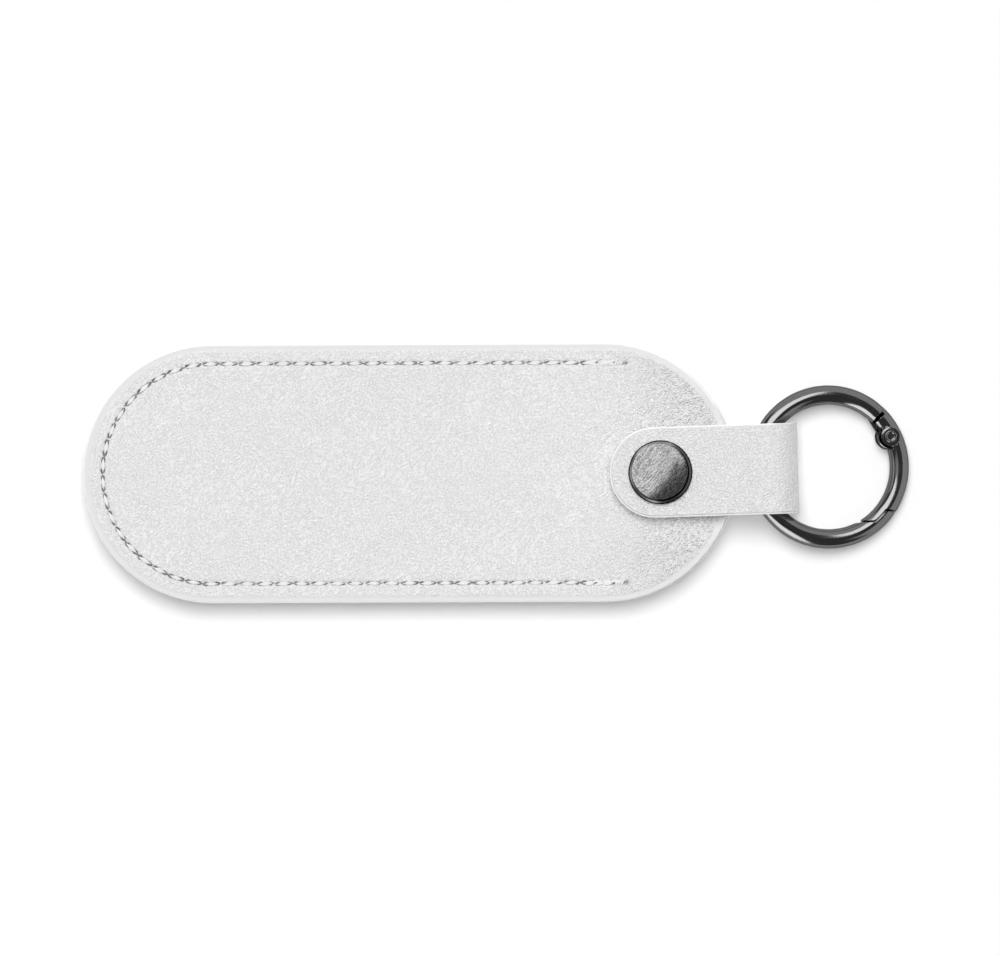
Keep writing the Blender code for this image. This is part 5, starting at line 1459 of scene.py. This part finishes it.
def add_cap_panel():
    """A small panel low over the press stud, which its cap reflects except on the lower right."""
    above = 12 * MM
    edge, back, side = 1.7 * MM, 14 * MM, 13 * MM
    base = FRONT_LEG_TOP + LAYER_GAP + CAP_THICKNESS
    corners = ((edge, -side), (edge, side), (-back, side), (-back, -side))
    turn = Matrix.Translation((SNAP_X, 0, base + above)) @ Matrix.Rotation(math.radians(-36), 4, "Z")
    points = [turn @ Vector((*corner, 0)) for corner in corners]
    mesh = bpy.data.meshes.new("cap_panel")
    mesh.from_pydata(points, [], [(0, 1, 2, 3)])
    mark(mesh, "glow", "FLOAT", [1.7] * 4)
    only_for_gloss(add_piece(mesh, "cap_panel", glowing("small panel")))


def add_sun(name, toward, energy, width, shadow):
    sun = bpy.data.lights.new(name, "SUN")
    sun.energy = energy
    sun.angle = math.radians(width)
    sun.use_shadow = shadow
    lamp = bpy.data.objects.new(name, sun)
    bpy.context.scene.collection.objects.link(lamp)
    lamp.rotation_euler = Vector(toward).to_track_quat("Z", "Y").to_euler()
    lamp.visible_glossy = False


def add_lights():
    """A soft top light gives the shadow below the object, and two shadowless ones bring out the grain."""
    add_sun("top", (-0.05, 0.29, 1), 2.3, 34, True)
    add_sun("rake", (-1.0, 1.0, 1.0), 0.7, 10, False)
    add_sun("fill", (1.0, -0.5, 0.6), 0.55, 20, False)


def add_camera():
    """Straight above, as the photograph was taken, with its small roll."""
    lens = SENSOR_WIDTH * CAMERA_ABOVE_POUCH / VIEW_WIDTH
    camera = bpy.data.cameras.new("camera")
    camera.lens = lens
    camera.sensor_width = SENSOR_WIDTH
    camera.clip_start = 0.05
    camera.clip_end = 20
    holder = bpy.data.objects.new("camera", camera)
    holder.location = (*VIEW_CENTRE, FRONT_HIGH.z + CAMERA_ABOVE_POUCH)
    holder.rotation_euler = (0, 0, VIEW_ROLL)
    bpy.context.scene.collection.objects.link(holder)
    bpy.context.scene.camera = holder
    bpy.context.scene.view_settings.view_transform = "Standard"


def main():
    add_camera()
    add_lights()
    add_world()
    add_floor()
    add_tent()
    add_cap_panel()

    pouch_leather = leather_finish("white faux leather", 0.905, 0.008, 0.034, 0.65)
    strap_leather = leather_finish("white strap leather", 0.905, -0.12, 0.2, 0.2)
    thread = thread_finish()
    ring_metal = ring_finish()
    cap_metal = cap_finish()
    steel = steel_finish()

    front = add_panel("front_panel_leather", FRONT_HIGH.x - ROUND_RADIUS, FRONT_HIGH.z, pouch_leather)
    back = add_panel("back_panel_leather", BACK_HIGH.x - ROUND_RADIUS, BACK_LOW.z, pouch_leather)
    hole = POST_SHANK_RADIUS + SHANK_GAP / 2
    stud_seat = STUD_FLANGE_RADIUS + SHANK_GAP / 2
    post_seat = POST_FLANGE_RADIUS + SHANK_GAP / 2
    stud_floor = FRONT_HIGH.z - STUD_BITE - LAYER_GAP / 2
    post_ceiling = FRONT_LOW.z + POST_FLANGE_THICKNESS - POST_FLANGE_PROUD + LAYER_GAP / 2
    above = FRONT_HIGH.z + CUT_OVERRUN
    inside = (FRONT_LOW.z + BACK_HIGH.z) / 2
    seat = [(0, above), (stud_seat, above), (stud_seat, stud_floor), (hole, stud_floor)]
    seat += [(hole, post_ceiling), (post_seat, post_ceiling), (post_seat, inside), (0, inside)]
    snap_place = Matrix.Translation((SNAP_X, 0, 0))
    carve(front, lathe("stud_seat", seat, snap_place, sides=72, ease=0))
    hole = RIVET_SHANK_RADIUS + SHANK_GAP / 2
    flange_floor = BACK_HIGH.z - POST_FLANGE_THICKNESS + POST_FLANGE_PROUD - LAYER_GAP / 2
    below = BACK_LOW.z - CUT_OVERRUN
    seat = [(0, inside), (post_seat, inside), (post_seat, flange_floor), (hole, flange_floor)]
    carve(back, lathe("rivet_seat", seat + [(hole, below), (0, below)], snap_place, sides=72, ease=0))
    mark_panel(front, FRONT_HIGH.z)
    mark_panel(back, BACK_LOW.z)
    for panel, node in ((front, "front_panel"), (back, "back_panel")):
        panel.data.set_sharp_from_angle(angle=math.radians(50))
        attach(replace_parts(panel, node), "pouch")

    tree = stitch_tree()
    front_seam = add_seam("seam_stitches_front", FRONT_HIGH.z, 1, 3, tree, thread)
    back_seam = add_seam("seam_stitches_back", BACK_LOW.z, -1, 11, tree, thread)
    for seam, node in ((front_seam, "seam_thread_front"), (back_seam, "seam_thread_back")):
        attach(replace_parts(seam, node), "pouch")

    strap_front, strap_rear = add_strap(strap_leather)
    hole = CAP_SHANK_RADIUS + SHANK_GAP / 2
    socket_seat = SOCKET_RADIUS + SHANK_GAP / 2
    ceiling = FRONT_LEG_BOTTOM + SOCKET_BITE + LAYER_GAP / 2
    above = FRONT_LEG_TOP + CUT_OVERRUN
    below = FRONT_LEG_BOTTOM - CUT_OVERRUN
    profile = [(0, above), (hole, above), (hole, ceiling), (socket_seat, ceiling), (socket_seat, below), (0, below)]
    carve(strap_front, lathe("socket_seat", profile, STRAP_PLACE, sides=72, ease=0))
    hole = RIVET_SHANK_RADIUS + SHANK_GAP / 2
    above = REAR_LEG_BOTTOM + STRAP_THICKNESS + CUT_OVERRUN
    below = REAR_LEG_BOTTOM - CUT_OVERRUN
    profile = [(0, above), (hole, above), (hole, below), (0, below)]
    carve(strap_rear, lathe("rivet_hole", profile, STRAP_PLACE, sides=72, ease=0))
    for piece in (strap_front, strap_rear):
        piece.data.set_sharp_from_angle(angle=math.radians(50))
    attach(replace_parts(strap_rear, "strap_loop"), "strap")
    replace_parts(strap_front, "strap_flap", "strap_loop")
    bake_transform(strap_front)

    add_snap_upper(cap_metal, steel)
    add_snap_lower(steel)
    add_rear_rivet(steel)
    add_ring(ring_place(), ring_metal, edge_highlight_finish(), steel)


main()
